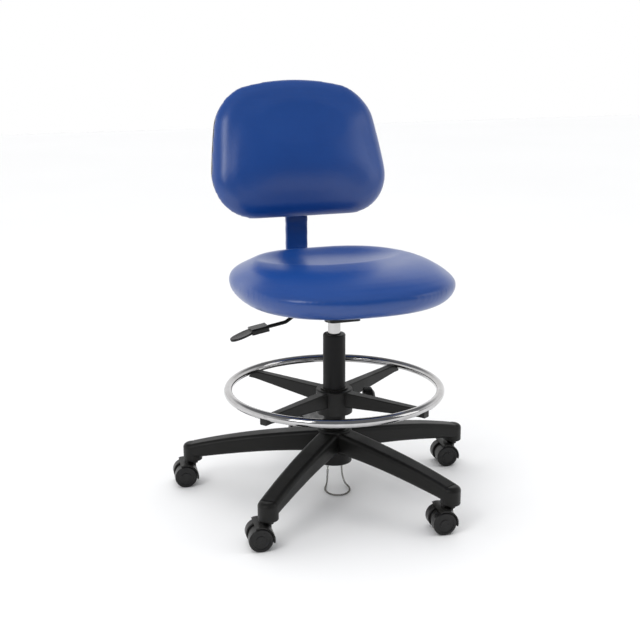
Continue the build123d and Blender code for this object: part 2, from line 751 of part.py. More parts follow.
def build_drag_chain():
    radii = corner_radii(CHAIN_ROUTE)
    print("chain radii", [round(radius, 1) for radius in radii])
    with BuildPart() as chain:
        with BuildLine() as route:
            FilletPolyline(*CHAIN_ROUTE, radius=radii)
        with BuildSketch(Plane(origin=CHAIN_ROUTE[0], z_dir=route.line % 0)):
            Circle(CHAIN_WIDTH / 2)
        sweep(path=route.line)
    length = route.wire().length
    share = chain.part.volume / (pi * (CHAIN_WIDTH / 2) ** 2 * length)
    print("chain length", round(length, 1), "volume over section times length", round(share, 4))
    save(chain.part, "drag_chain")
    with BuildPart() as hooks:
        for x, y, z in (CHAIN_ROUTE[0], CHAIN_ROUTE[-1]):
            with BuildSketch(Plane((x, y, HUB_BOTTOM + HOOK_SEAT))):
                Circle(HOOK_RADIUS)
            extrude(amount=-HOOK_SEAT - HOOK_DROP + 2 * HOOK_EYE)
            with Locations(Plane((x, y, z + HOOK_EYE + HOOK_WIRE), x_dir=FRAME_X, z_dir=(0, 1, 0))):
                Torus(HOOK_EYE, HOOK_WIRE)
    save(hooks.part, "chain_hooks")


# ---------------------------------------------------------------- foot ring


def build_ring_sleeve():
    with BuildPart() as sleeve:
        with BuildSketch(Plane.XY.offset(RING_HUB_BOTTOM - FACE)):
            Circle(SLEEVE_OUTSIDE)
            Circle(SLEEVE_INSIDE, mode=Mode.SUBTRACT)
        extrude(amount=RING_HUB_TOP - RING_HUB_BOTTOM + 2 * FACE)
        for height, direction in ((RING_HUB_TOP + FACE, 1), (RING_HUB_BOTTOM - FACE, -1)):
            with BuildSketch(Plane.XY.offset(height)):
                Circle(SLEEVE_OUTSIDE + SLEEVE_LIP)
                Circle(SLEEVE_INSIDE, mode=Mode.SUBTRACT)
            extrude(amount=direction * SLEEVE_LIP)
        with BuildSketch(Plane.XY.offset(RING_HUB_BOTTOM - 2 * SLEEVE_LIP)):
            with Locations((0, SLEEVE_INSIDE + SLEEVE_WALL)):
                Rectangle(SLEEVE_SPLIT, 4 * SLEEVE_WALL)
        extrude(amount=RING_HUB_TOP - RING_HUB_BOTTOM + 4 * SLEEVE_LIP, mode=Mode.SUBTRACT)
    save(sleeve.part, "ring_sleeve")


def build_ring_hub():
    spoke_end = RING_RADIUS + RING_SCREW_HEAD + SPOKE_END_REACH
    spoke_break = RING_RADIUS - RING_TUBE_RADIUS
    with BuildPart() as hub:
        with BuildSketch(Plane.XY.offset(RING_HUB_BOTTOM)):
            Circle(RING_HUB_RADIUS)
        extrude(amount=RING_HUB_TOP - RING_HUB_BOTTOM)
        fillet(hub.edges().group_by(Axis.Z)[-1], radius=RING_HUB_EDGE)
        for angle in SPOKE_ANGLES:
            for distance, low, high, width in (
                (HUB_BORE + SPOKE_ROOT_BITE, SPOKE_ROOT_BOTTOM, SPOKE_ROOT_TOP, SPOKE_ROOT_WIDTH),
                (spoke_break, SPOKE_TIP_BOTTOM, SPOKE_TIP_TOP, SPOKE_TIP_WIDTH),
            ):
                with BuildSketch(radial_plane(distance, angle, (low + high) / 2)):
                    RectangleRounded(width, high - low, SPOKE_EDGE)
            loft()
            with BuildSketch(radial_plane(spoke_break, angle, (SPOKE_TIP_BOTTOM + SPOKE_TIP_TOP) / 2)):
                RectangleRounded(SPOKE_TIP_WIDTH, SPOKE_TIP_TOP - SPOKE_TIP_BOTTOM, SPOKE_EDGE)
            extrude(amount=spoke_end - spoke_break)
        with BuildSketch(radial_plane(HUB_BORE + SPOKE_ROOT_BITE, KNOB_ANGLE, RING_KNOB_HEIGHT)):
            Circle(RING_BOSS_RADIUS)
        extrude(amount=RING_BOSS_END - HUB_BORE - SPOKE_ROOT_BITE)
        with BuildSketch(Plane.XY.offset(RING_HUB_BOTTOM)):
            Circle(HUB_BORE)
        extrude(amount=RING_HUB_TOP - RING_HUB_BOTTOM, mode=Mode.SUBTRACT)
        with BuildSketch(radial_plane(0, KNOB_ANGLE, RING_KNOB_HEIGHT)):
            Circle(KNOB_SCREW_RADIUS + RUN)
        extrude(amount=RING_BOSS_END, mode=Mode.SUBTRACT)
        with Locations((0, 0, RING_HEIGHT)):
            Torus(RING_RADIUS, RING_TUBE_RADIUS, mode=Mode.SUBTRACT)
        for angle in SPOKE_ANGLES:
            with BuildSketch(Plane(polar(RING_RADIUS, angle, SPOKE_TIP_BOTTOM))):
                Circle(RING_SCREW_HEAD)
            extrude(amount=RING_SCREW_RECESS + RING_SCREW_HEAD_HEIGHT, mode=Mode.SUBTRACT)
            with BuildSketch(Plane(polar(RING_RADIUS, angle, SPOKE_TIP_BOTTOM))):
                Circle(RING_SCREW_RADIUS)
            extrude(amount=RING_HEIGHT - SPOKE_TIP_BOTTOM, mode=Mode.SUBTRACT)
    save(hub.part, "ring_hub")


def build_foot_ring():
    screw_top = RING_HEIGHT - RING_TUBE_RADIUS + RING_SCREW_REACH
    head_bottom = SPOKE_TIP_BOTTOM + RING_SCREW_RECESS
    with BuildPart() as ring:
        with BuildSketch(Plane.XZ):
            with Locations((RING_RADIUS, RING_HEIGHT)):
                Circle(RING_TUBE_RADIUS)
                Circle(RING_TUBE_RADIUS - RING_TUBE_WALL, mode=Mode.SUBTRACT)
        revolve(axis=Axis.Z)
        with BuildSketch(Plane.XY.offset(SPOKE_TIP_BOTTOM)):
            with Locations(*[polar(RING_RADIUS, angle)[:2] for angle in SPOKE_ANGLES]):
                Circle(RING_SCREW_RADIUS)
        extrude(amount=RING_HEIGHT - SPOKE_TIP_BOTTOM, mode=Mode.SUBTRACT)
    save(ring.part, "foot_ring")
    with BuildPart() as screws:
        for angle in SPOKE_ANGLES:
            with BuildSketch(Plane(polar(RING_RADIUS, angle, head_bottom))):
                Circle(RING_SCREW_HEAD)
            extrude(amount=RING_SCREW_HEAD_HEIGHT)
            with BuildSketch(Plane(polar(RING_RADIUS, angle, head_bottom))):
                Circle(RING_SCREW_RADIUS)
            extrude(amount=screw_top - head_bottom)
    save(screws.part, "ring_screws")


def knob_body(plane, radius, length):
    """Round clamp knob on a plane at its inner face: domed outside, with grip flutes."""
    with BuildPart() as knob:
        with BuildSketch(plane):
            Circle(radius)
            with PolarLocations(radius + KNOB_FLUTE_OUTSET, KNOB_FLUTES):
                Circle(KNOB_FLUTE_RADIUS, mode=Mode.SUBTRACT)
        extrude(amount=length - KNOB_DOME)
        with BuildSketch(plane.offset(length - KNOB_DOME)):
            Circle(radius - KNOB_DOME_STEP)
        with BuildSketch(plane.offset(length)):
            Circle(radius - KNOB_DOME_SLOPE)
        loft()
        with BuildSketch(plane):
            Circle(radius * KNOB_COLLAR_SHARE)
        extrude(amount=-KNOB_COLLAR_LENGTH)
        with BuildSketch(plane.offset(-KNOB_COLLAR_LENGTH)):
            Circle(KNOB_SCREW_RADIUS)
        extrude(amount=KNOB_SCREW_SEAT + KNOB_COLLAR_LENGTH, mode=Mode.SUBTRACT)
    return knob.part


def build_ring_knob():
    start = radial_plane(RING_KNOB_START, KNOB_ANGLE, RING_KNOB_HEIGHT)
    save(knob_body(start, RING_KNOB_RADIUS, RING_KNOB_LENGTH), "ring_knob")
    with BuildPart() as screw:
        tip = SLEEVE_OUTSIDE + 2 * FACE
        with BuildSketch(radial_plane(tip, KNOB_ANGLE, RING_KNOB_HEIGHT)):
            Circle(KNOB_SCREW_RADIUS)
        extrude(amount=RING_KNOB_START + KNOB_SCREW_SEAT - tip)
    save(screw.part, "ring_knob_screw")


# ---------------------------------------------------------------- seat and its mechanism


def seat_outline(margin):
    """Closed outline of the seat in plan, drawn in by a margin."""
    across, along = SEAT_WIDTH / 2 - margin, SEAT_DEPTH / 2 - margin
    power = 2 / SEAT_SQUARENESS
    points = []
    for step in range(SEAT_OUTLINE_POINTS):
        turn = 2 * pi * (step + 0.5) / SEAT_OUTLINE_POINTS
        x = copysign(abs(cos(turn)) ** power, cos(turn)) * across
        y = copysign(abs(sin(turn)) ** power, sin(turn)) * along
        points.append((x, y - SEAT_FORWARD))
    return Spline(*points, periodic=True)


def bolt_places():
    return [(x, y) for x in (-BOLT_X, BOLT_X) for y in (BOLT_FRONT, BOLT_REAR)]


def build_seat_pad():
    board_top = SEAT_UNDERSIDE + BOARD_THICKNESS
    with BuildPart() as cushion:
        for level in CUSHION_LEVELS:
            reach = SEAT_TOP - SEAT_WIDEST if level > 0 else SEAT_WIDEST - SEAT_UNDERSIDE + CUSHION_HEM
            edge = CUSHION_TOP_EDGE if level > 0 else CUSHION_LOW_EDGE
            with BuildSketch(Plane.XY.offset(SEAT_WIDEST + level * reach)):
                with BuildLine():
                    seat_outline(edge * (1 - sqrt(1 - level**2)))
                make_face()
        loft()
        with BuildSketch(Plane.XY.offset(SEAT_UNDERSIDE - CUSHION_HEM)):
            with BuildLine():
                seat_outline(CUSHION_LOW_EDGE + BOARD_STEP)
            make_face()
        extrude(amount=CUSHION_HEM, mode=Mode.SUBTRACT)
        with BuildSketch(Plane.XY.offset(SEAT_UNDERSIDE)):
            with BuildLine():
                seat_outline(CUSHION_LOW_EDGE + BOARD_STEP)
            make_face()
        extrude(amount=BOARD_THICKNESS, mode=Mode.SUBTRACT)
    save(cushion.part, "seat_cushion")
    with BuildPart() as board:
        with BuildSketch(Plane.XY.offset(SEAT_UNDERSIDE)):
            with BuildLine():
                seat_outline(CUSHION_LOW_EDGE + BOARD_STEP + GAP)
            make_face()
        extrude(amount=BOARD_THICKNESS)
        with BuildSketch(Plane.XY.offset(SEAT_UNDERSIDE)):
            with Locations(*bolt_places()):
                Circle(TNUT_BARREL)
        extrude(amount=BOARD_THICKNESS, mode=Mode.SUBTRACT)
        with BuildSketch(Plane.XY.offset(board_top)):
            with Locations(*bolt_places()):
                Circle(TNUT_FLANGE)
        extrude(amount=-TNUT_FLANGE_THICKNESS, mode=Mode.SUBTRACT)
    save(board.part, "seat_board")
    with BuildPart() as cover:
        with BuildSketch(Plane.XY.offset(SEAT_UNDERSIDE - FACE)):
            with BuildLine():
                seat_outline(CUSHION_LOW_EDGE + BOARD_STEP + 3 * GAP)
            make_face()
            with Locations((0, (PLATE_FRONT + PLATE_REAR) / 2)):
                Rectangle(
                    2 * (PLATE_HALF_WIDTH + GAP),
                    PLATE_REAR - PLATE_FRONT + 2 * GAP,
                    mode=Mode.SUBTRACT,
                )
        extrude(amount=-COVER_THICKNESS)
    save(cover.part, "seat_dust_cover")


def build_seat_fasteners():
    flange_bottom = SEAT_UNDERSIDE + BOARD_THICKNESS - TNUT_FLANGE_THICKNESS
    with BuildPart() as fasteners:
        with BuildSketch(Plane.XY.offset(PLATE_BOTTOM)):
            with Locations(*bolt_places()):
                RegularPolygon(BOLT_HEAD_RADIUS, 6)
        extrude(amount=-BOLT_HEAD_HEIGHT)
        with BuildSketch(Plane.XY.offset(PLATE_BOTTOM)):
            with Locations(*bolt_places()):
                Circle(BOLT_RADIUS)
        extrude(amount=PLATE_THICKNESS + BOARD_THICKNESS - BOLT_SHORT)
        for bottom, height, radius in (
            (SEAT_UNDERSIDE, BOARD_THICKNESS, TNUT_BARREL),
            (flange_bottom, TNUT_FLANGE_THICKNESS, TNUT_FLANGE),
        ):
            for x, y in bolt_places():
                with BuildSketch(Plane((x, y, bottom))):
                    Circle(radius)
                    Circle(BOLT_RADIUS + RUN, mode=Mode.SUBTRACT)
                extrude(amount=height)
    save(fasteners.part, "seat_fasteners")


def build_seat_plate():
    middle = (PLATE_FRONT + PLATE_REAR) / 2
    with BuildPart() as plate:
        with BuildSketch(Plane.XY.offset(PLATE_BOTTOM)):
            with Locations((0, middle)):
                RectangleRounded(2 * PLATE_HALF_WIDTH, PLATE_REAR - PLATE_FRONT, PLATE_CORNER)
            with Locations(*bolt_places()):
                Circle(BOLT_RADIUS + GAP, mode=Mode.SUBTRACT)
        extrude(amount=PLATE_THICKNESS)
        for side in (-1, 1):
            with BuildSketch(Plane.XY.offset(PLATE_BOTTOM)):
                with Locations((side * (PLATE_HALF_WIDTH - FLANGE_THICKNESS / 2), middle)):
                    Rectangle(FLANGE_THICKNESS, PLATE_REAR - PLATE_FRONT - FLANGE_SHORT)
            extrude(amount=-FLANGE_DROP)
    save(plate.part, "seat_plate")


def build_mech_housing():
    half = HOUSING_HALF_WIDTH
    inside = half - HOUSING_WALL
    length = PLATE_REAR - PLATE_FRONT
    middle = (PLATE_FRONT + PLATE_REAR) / 2
    strap_bottom = BAR_HEIGHT + BAR_THICKNESS / 2 + GAP
    with BuildPart() as housing:
        with BuildSketch(Plane.XY.offset(HOUSING_BOTTOM)):
            with Locations((0, middle)):
                RectangleRounded(2 * half, length, HOUSING_CORNER)
        extrude(amount=PLATE_BOTTOM - HOUSING_BOTTOM)
        with BuildSketch(Plane.XY.offset(HOUSING_FLOOR)):
            with Locations((0, middle)):
                RectangleRounded(2 * inside, length - 2 * HOUSING_WALL, HOUSING_CORNER - HOUSING_WALL)
        extrude(amount=PLATE_BOTTOM - HOUSING_FLOOR, mode=Mode.SUBTRACT)
        with BuildSketch(Plane.XY.offset(HOUSING_FLOOR)):
            with Locations((0, (GUIDE_FRONT + GUIDE_REAR) / 2)):
                Rectangle(2 * inside, GUIDE_REAR - GUIDE_FRONT)
        extrude(amount=strap_bottom + HOUSING_WALL - HOUSING_FLOOR)
        with BuildSketch(Plane.XZ.offset(-GUIDE_FRONT)):
            with Locations((0, BAR_HEIGHT)):
                Rectangle(BAR_WIDTH + 2 * GAP, BAR_THICKNESS + 2 * GAP)
        extrude(amount=-(PLATE_REAR - GUIDE_FRONT), mode=Mode.SUBTRACT)
        with BuildSketch(Plane.XY.offset(HOUSING_BOTTOM)):
            with Locations((0, DEPTH_KNOB_Y)):
                Circle(DEPTH_BOSS_RADIUS)
        extrude(amount=-DEPTH_BOSS_DROP)
        with BuildSketch(Plane.XY.offset(HOUSING_BOTTOM - DEPTH_BOSS_DROP)):
            with Locations((0, DEPTH_KNOB_Y)):
                Circle(KNOB_SCREW_RADIUS + RUN)
        extrude(amount=DEPTH_BOSS_DROP + HOUSING_WALL, mode=Mode.SUBTRACT)
        for side in (-1, 1):
            with BuildSketch(Plane.XY.offset(HOUSING_FLOOR)):
                with Locations((LUG_WIDTH / 2 - inside, side * (LUG_INSIDE + LUG_THICKNESS / 2))):
                    Rectangle(LUG_WIDTH, LUG_THICKNESS)
            extrude(amount=LEVER_AXIS_HEIGHT + LUG_OVER_PIN - HOUSING_FLOOR)
        with BuildSketch(Plane.XY.offset(HOUSING_BOTTOM)):
            Circle(SOCKET_RADIUS)
        extrude(amount=PLATE_BOTTOM - HOUSING_BOTTOM, mode=Mode.SUBTRACT)
        with BuildSketch(Plane.XZ.offset(-LUG_INSIDE - LUG_THICKNESS)):
            with Locations((LEVER_PIVOT_X, LEVER_AXIS_HEIGHT)):
                Circle(LEVER_PIN_RADIUS)
        extrude(amount=2 * (LUG_INSIDE + LUG_THICKNESS), mode=Mode.SUBTRACT)
        with BuildSketch(Plane.YZ.offset(-half)):
            with Locations((0, LEVER_AXIS_HEIGHT)):
                RectangleRounded(2 * LUG_INSIDE, LEVER_SLOT_HEIGHT, LEVER_SLOT_CORNER)
        extrude(amount=HOUSING_WALL, mode=Mode.SUBTRACT)
    save(housing.part, "mech_housing")


def build_lever():
    route = [(across, 0.0, LEVER_AXIS_HEIGHT + up) for across, up in LEVER_ROUTE]
    with BuildPart() as rod:
        with BuildLine() as path:
            FilletPolyline(*route, radius=LEVER_BEND)
        with BuildSketch(Plane(origin=route[0], z_dir=path.line % 0)):
            Circle(LEVER_ROD_RADIUS)
        sweep(path=path.line)
        with BuildSketch(Plane.XZ.offset(-2 * LUG_INSIDE)):
            with Locations((LEVER_PIVOT_X, LEVER_AXIS_HEIGHT)):
                Circle(LEVER_PIN_RADIUS + RUN)
        extrude(amount=4 * LUG_INSIDE, mode=Mode.SUBTRACT)
    save(rod.part, "lever_rod")
    end = Vector(*route[-1])
    along = (end - Vector(*route[-2])).normalized()
    grip_start = end - along * GRIP_LENGTH
    slope = radians(PADDLE_SLOPE)
    blade_x = Vector(-cos(slope), 0, -sin(slope))
    blade_plane = Plane(
        origin=end + blade_x * PADDLE_REACH - Vector(0, 0, PADDLE_THICKNESS / 2),
        x_dir=blade_x,
        z_dir=(-sin(slope), 0, cos(slope)),
    )
    with BuildPart() as paddle:
        with BuildSketch(blade_plane):
            Ellipse(PADDLE_HALF_LENGTH, PADDLE_HALF_WIDTH)
        extrude(amount=PADDLE_THICKNESS)
        fillet(paddle.edges(), radius=PADDLE_EDGE)
        with Locations(blade_plane.offset(DISH_RADIUS + PADDLE_THICKNESS - DISH_DEPTH)):
            Sphere(DISH_RADIUS, mode=Mode.SUBTRACT)
        with BuildSketch(Plane(origin=grip_start, x_dir=(0, 1, 0), z_dir=along)):
            RectangleRounded(GRIP_WIDTH, GRIP_THICKNESS, GRIP_CORNER)
        extrude(amount=GRIP_LENGTH + GRIP_OVERRUN)
        with BuildSketch(Plane(origin=grip_start, x_dir=(0, 1, 0), z_dir=along)):
            Circle(LEVER_ROD_RADIUS)
        extrude(amount=GRIP_LENGTH, mode=Mode.SUBTRACT)
    save(paddle.part, "lever_paddle")
    with BuildPart() as pivot:
        with BuildSketch(Plane.XZ.offset(-LUG_INSIDE - LUG_THICKNESS)):
            with Locations((LEVER_PIVOT_X, LEVER_AXIS_HEIGHT)):
                Circle(LEVER_PIN_RADIUS)
        extrude(amount=2 * (LUG_INSIDE + LUG_THICKNESS))
    save(pivot.part, "lever_pivot")


# ---------------------------------------------------------------- back bar and backrest


def bar_route(start_y, start_z):
    """Corners of the back bar's middle line, from under the seat or part-way up."""
    lean = radians(LEAN)
    top = (0, BAR_BACK + sin(lean) * BAR_UPPER_LENGTH, BAR_KINK_HEIGHT + cos(lean) * BAR_UPPER_LENGTH)
    return (0, start_y, start_z), (0, BAR_BACK, BAR_KINK_HEIGHT), top


def build_back_bar():
    start, kink, top = bar_route(BAR_START, BAR_HEIGHT)
    with BuildPart() as bar:
        with BuildLine() as path:
            FilletPolyline(start, (0, BAR_BACK, BAR_HEIGHT), kink, top, radius=[BAR_BEND, BAR_KINK_RADIUS])
        with BuildSketch(Plane(origin=start, x_dir=FRAME_X, z_dir=(0, 1, 0))):
            Rectangle(BAR_WIDTH, BAR_THICKNESS)
        sweep(path=path.line)
    save(bar.part, "back_bar")


def build_bar_sleeve():
    lean = radians(LEAN)
    start, kink, _ = bar_route(BAR_BACK, SLEEVE_COVER_START)
    rise = BRACKET_LOW - BAR_KINK_V - SLEEVE_COVER_END
    end = (0, BAR_BACK + sin(lean) * rise, BAR_KINK_HEIGHT + cos(lean) * rise)
    with BuildPart() as sleeve:
        with BuildLine() as path:
            FilletPolyline(start, kink, end, radius=BAR_KINK_RADIUS)
        with BuildSketch(Plane(origin=start, x_dir=FRAME_X, z_dir=(0, 0, 1))):
            RectangleRounded(
                BAR_WIDTH + 2 * (GAP + SLEEVE_COVER_SIDE),
                BAR_THICKNESS + 2 * (GAP + SLEEVE_COVER_WALL),
                SLEEVE_COVER_CORNER,
            )
            Rectangle(BAR_WIDTH + 2 * GAP, BAR_THICKNESS + 2 * GAP, mode=Mode.SUBTRACT)
        sweep(path=path.line)
    save(sleeve.part, "bar_sleeve")


def build_depth_knob():
    top = Plane(
        origin=(0, DEPTH_KNOB_Y, HOUSING_BOTTOM - DEPTH_BOSS_DROP - KNOB_STAND_OFF),
        x_dir=FRAME_X,
        z_dir=(0, 0, -1),
    )
    with BuildPart() as knob:
        add(knob_body(top, KNOB_RADIUS, KNOB_LENGTH))
        with BuildSketch(top.offset(KNOB_SCREW_SEAT)):
            Circle(KNOB_SCREW_RADIUS)
        reach = BAR_HEIGHT - BAR_THICKNESS / 2 - FACE - (top.origin.Z - KNOB_SCREW_SEAT)
        extrude(amount=-reach, mode=Mode.ADD)
    save(knob.part, "depth_knob")


def back_outline(margin):
    """Closed outline of the back: a trapezoid, wider below, with bowed edges and round corners."""
    low, high = -BACK_HALF_HEIGHT + margin, BACK_HALF_HEIGHT - margin
    low_x, top_x = BACK_LOW_HALF_WIDTH - margin, BACK_TOP_HALF_WIDTH - margin
    low_y, top_y = low + BACK_LOW_BOW, high - BACK_TOP_BOW
    side_x, side_y = (low_x + top_x) / 2 + BACK_SIDE_BOW, (low_y + top_y) / 2
    with BuildSketch(mode=Mode.PRIVATE) as outline:
        with BuildLine():
            ThreePointArc((-low_x, low_y), (0, low), (low_x, low_y))
            ThreePointArc((low_x, low_y), (side_x, side_y), (top_x, top_y))
            ThreePointArc((top_x, top_y), (0, high), (-top_x, top_y))
            ThreePointArc((-top_x, top_y), (-side_x, side_y), (-low_x, low_y))
        make_face()
        fillet(outline.vertices().group_by(Axis.Y)[0], radius=BACK_LOW_CORNER - margin)
        fillet(outline.vertices().group_by(Axis.Y)[-1], radius=BACK_TOP_CORNER - margin)
    return outline.sketch


def build_backrest():
    rim_inside = SHELL_STEP + SHELL_RIM
    with BuildPart() as cushion:
        with BuildSketch(BACK_PLANE.offset(BACK_SEAM + FACE)):
            add(back_outline(0))
        extrude(amount=BACK_FRONT - BACK_SEAM - FACE)
        front = cushion.faces().sort_by(Axis(BACK_PLANE.origin, BACK_PLANE.z_dir))[-1]
        fillet(front.edges(), radius=CUSHION_FRONT_EDGE)
        rear = cushion.faces().sort_by(Axis(BACK_PLANE.origin, BACK_PLANE.z_dir))[0]
        fillet(rear.edges(), radius=CUSHION_REAR_EDGE)
    save(cushion.part, "back_cushion")
    with BuildPart() as shell:
        with BuildSketch(BACK_PLANE.offset(BACK_SHELL_REAR)):
            add(back_outline(SHELL_STEP))
        extrude(amount=BACK_SEAM - BACK_SHELL_REAR)
        rear = shell.faces().sort_by(Axis(BACK_PLANE.origin, BACK_PLANE.z_dir))[0]
        fillet(rear.edges(), radius=SHELL_EDGE)
        with BuildSketch(BACK_PLANE.offset(BACK_SHELL_REAR + SHELL_WALL)):
            add(back_outline(rim_inside))
        extrude(amount=BACK_SEAM - BACK_SHELL_REAR - SHELL_WALL, mode=Mode.SUBTRACT)
        with BuildSketch(BACK_PLANE.offset(BACK_SHELL_REAR)):
            with Locations(*screw_places()):
                Circle(BRACKET_SCREW_RADIUS)
        extrude(amount=SHELL_WALL, mode=Mode.SUBTRACT)
    save(shell.part, "back_shell")
    with BuildPart() as board:
        with BuildSketch(BACK_PLANE.offset(BACK_SHELL_REAR + SHELL_WALL)):
            add(back_outline(rim_inside + GAP))
        extrude(amount=BACK_SEAM - BACK_SHELL_REAR - SHELL_WALL - FACE)
        with BuildSketch(BACK_PLANE.offset(BACK_SHELL_REAR + SHELL_WALL)):
            with Locations(*screw_places()):
                Circle(BRACKET_SCREW_RADIUS)
        extrude(amount=BRACKET_SCREW_LENGTH, mode=Mode.SUBTRACT)
    save(board.part, "back_board")


def screw_places():
    middle = (BRACKET_LOW + BRACKET_HIGH) / 2
    reach = (BRACKET_HIGH - BRACKET_LOW) / 2 - BRACKET_SCREW_END
    return [(x, middle + v) for x in (-BRACKET_SCREW_X, BRACKET_SCREW_X) for v in (-reach, reach)]


def build_back_bracket():
    length = BRACKET_HIGH - BRACKET_LOW
    middle = (BRACKET_HIGH + BRACKET_LOW) / 2
    plate_rear = BACK_SHELL_REAR - BRACKET_WALL
    box_front = BAR_N + GUIDE_HALF_N + BRACKET_WALL
    box_rear = BAR_N - GUIDE_HALF_N - BRACKET_WALL
    with BuildPart() as bracket:
        with BuildSketch(BACK_PLANE.offset(plate_rear)):
            with Locations((0, middle)):
                RectangleRounded(2 * BRACKET_PLATE_HALF, length, BRACKET_CORNER)
            with Locations(*screw_places()):
                Circle(BRACKET_SCREW_RADIUS + GAP, mode=Mode.SUBTRACT)
        extrude(amount=BRACKET_WALL)
        with BuildSketch(BACK_PLANE.offset(box_front)):
            for side in (-1, 1):
                with Locations((side * BRACKET_WEB_X, middle)):
                    Rectangle(BRACKET_WALL, length)
        extrude(amount=plate_rear - box_front)
        with BuildSketch(BACK_PLANE.offset(box_rear)):
            with Locations((0, middle)):
                Rectangle(2 * (GUIDE_HALF_X + BRACKET_WALL), length)
        extrude(amount=box_front - box_rear)
        with BuildSketch(BACK_PLANE.offset(BAR_N - GUIDE_HALF_N)):
            with Locations((0, middle)):
                Rectangle(2 * GUIDE_HALF_X, length)
        extrude(amount=2 * GUIDE_HALF_N, mode=Mode.SUBTRACT)
        with BuildSketch(BACK_PLANE.offset(box_rear)):
            with Locations((0, BACK_KNOB_V)):
                Circle(BACK_BOSS_RADIUS)
        extrude(amount=-BACK_BOSS_LENGTH)
        with BuildSketch(BACK_PLANE.offset(box_rear - BACK_BOSS_LENGTH)):
            with Locations((0, BACK_KNOB_V)):
                Circle(KNOB_SCREW_RADIUS + RUN)
        extrude(amount=BACK_BOSS_LENGTH + BRACKET_WALL, mode=Mode.SUBTRACT)
    save(bracket.part, "back_bracket")
    with BuildPart() as screws:
        with BuildSketch(BACK_PLANE.offset(plate_rear)):
            with Locations(*screw_places()):
                Circle(BRACKET_SCREW_HEAD)
        extrude(amount=-BRACKET_SCREW_HEAD_HEIGHT)
        with BuildSketch(BACK_PLANE.offset(plate_rear)):
            with Locations(*screw_places()):
                Circle(BRACKET_SCREW_RADIUS)
        extrude(amount=BRACKET_WALL + SHELL_WALL + BRACKET_SCREW_LENGTH - BRACKET_SCREW_SHORT)
    save(screws.part, "bracket_screws")
    knob_face = BACK_PLANE.offset(box_rear - BACK_BOSS_LENGTH - KNOB_STAND_OFF)
    start = Plane(
        origin=knob_face.from_local_coords((0, BACK_KNOB_V, 0)),
        x_dir=FRAME_X,
        z_dir=-BACK_PLANE.z_dir,
    )
    with BuildPart() as knob:
        add(knob_body(start, KNOB_RADIUS, KNOB_LENGTH))
        with BuildSketch(start.offset(KNOB_SCREW_SEAT)):
            Circle(KNOB_SCREW_RADIUS)
        reach = KNOB_SCREW_SEAT + KNOB_STAND_OFF + BACK_BOSS_LENGTH + BRACKET_WALL + GAP - FACE
        extrude(amount=-reach)
    save(knob.part, "back_knob")


def main():
    os.makedirs("parts", exist_ok=True)
    build_star_base()
    build_caster_sockets()
    build_casters()
    build_column_tube()
    build_bearing()
    build_piston()
    build_gas_cylinder()
    build_drag_chain()
    build_ring_sleeve()
    build_ring_hub()
    build_foot_ring()
    build_ring_knob()
    build_seat_pad()
    build_seat_fasteners()
    build_seat_plate()
    build_mech_housing()
    build_lever()
    build_back_bar()
    build_bar_sleeve()
    build_depth_knob()
    build_backrest()
    build_back_bracket()


main()
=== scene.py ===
"""Looks of the drafting chair: soft covers, drag chain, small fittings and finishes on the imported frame."""

from __future__ import annotations

import json
import logging
import math
from collections.abc import Callable, Sequence
from dataclasses import dataclass, field
from enum import Enum

import bmesh
import bpy
import numpy as np
from mathutils import Matrix, Vector


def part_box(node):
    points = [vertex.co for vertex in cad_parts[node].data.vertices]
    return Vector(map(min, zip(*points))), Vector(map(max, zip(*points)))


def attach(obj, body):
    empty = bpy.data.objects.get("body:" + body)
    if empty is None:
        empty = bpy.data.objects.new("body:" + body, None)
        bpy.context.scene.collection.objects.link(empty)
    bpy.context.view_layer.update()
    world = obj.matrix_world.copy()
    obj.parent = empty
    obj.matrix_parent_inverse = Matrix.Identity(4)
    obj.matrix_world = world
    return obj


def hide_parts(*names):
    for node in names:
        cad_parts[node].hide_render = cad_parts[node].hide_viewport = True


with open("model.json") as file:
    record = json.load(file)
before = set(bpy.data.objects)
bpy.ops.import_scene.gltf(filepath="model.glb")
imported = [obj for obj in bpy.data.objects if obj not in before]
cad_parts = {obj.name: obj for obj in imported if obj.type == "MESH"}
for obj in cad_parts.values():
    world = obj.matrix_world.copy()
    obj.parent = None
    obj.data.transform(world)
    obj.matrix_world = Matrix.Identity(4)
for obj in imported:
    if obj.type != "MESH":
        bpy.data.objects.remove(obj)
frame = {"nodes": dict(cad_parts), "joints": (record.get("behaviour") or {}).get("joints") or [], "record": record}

LOG = logging.getLogger("drafting_chair")
Point = tuple[float, float, float]
Points = np.ndarray


# ---------------------------------------------------------------- node graphs and finishes


class Bands(Enum):
    """Which way the bands of a texture repeat."""

    UPWARD = "Z"
    DIAGONAL = "DIAGONAL"


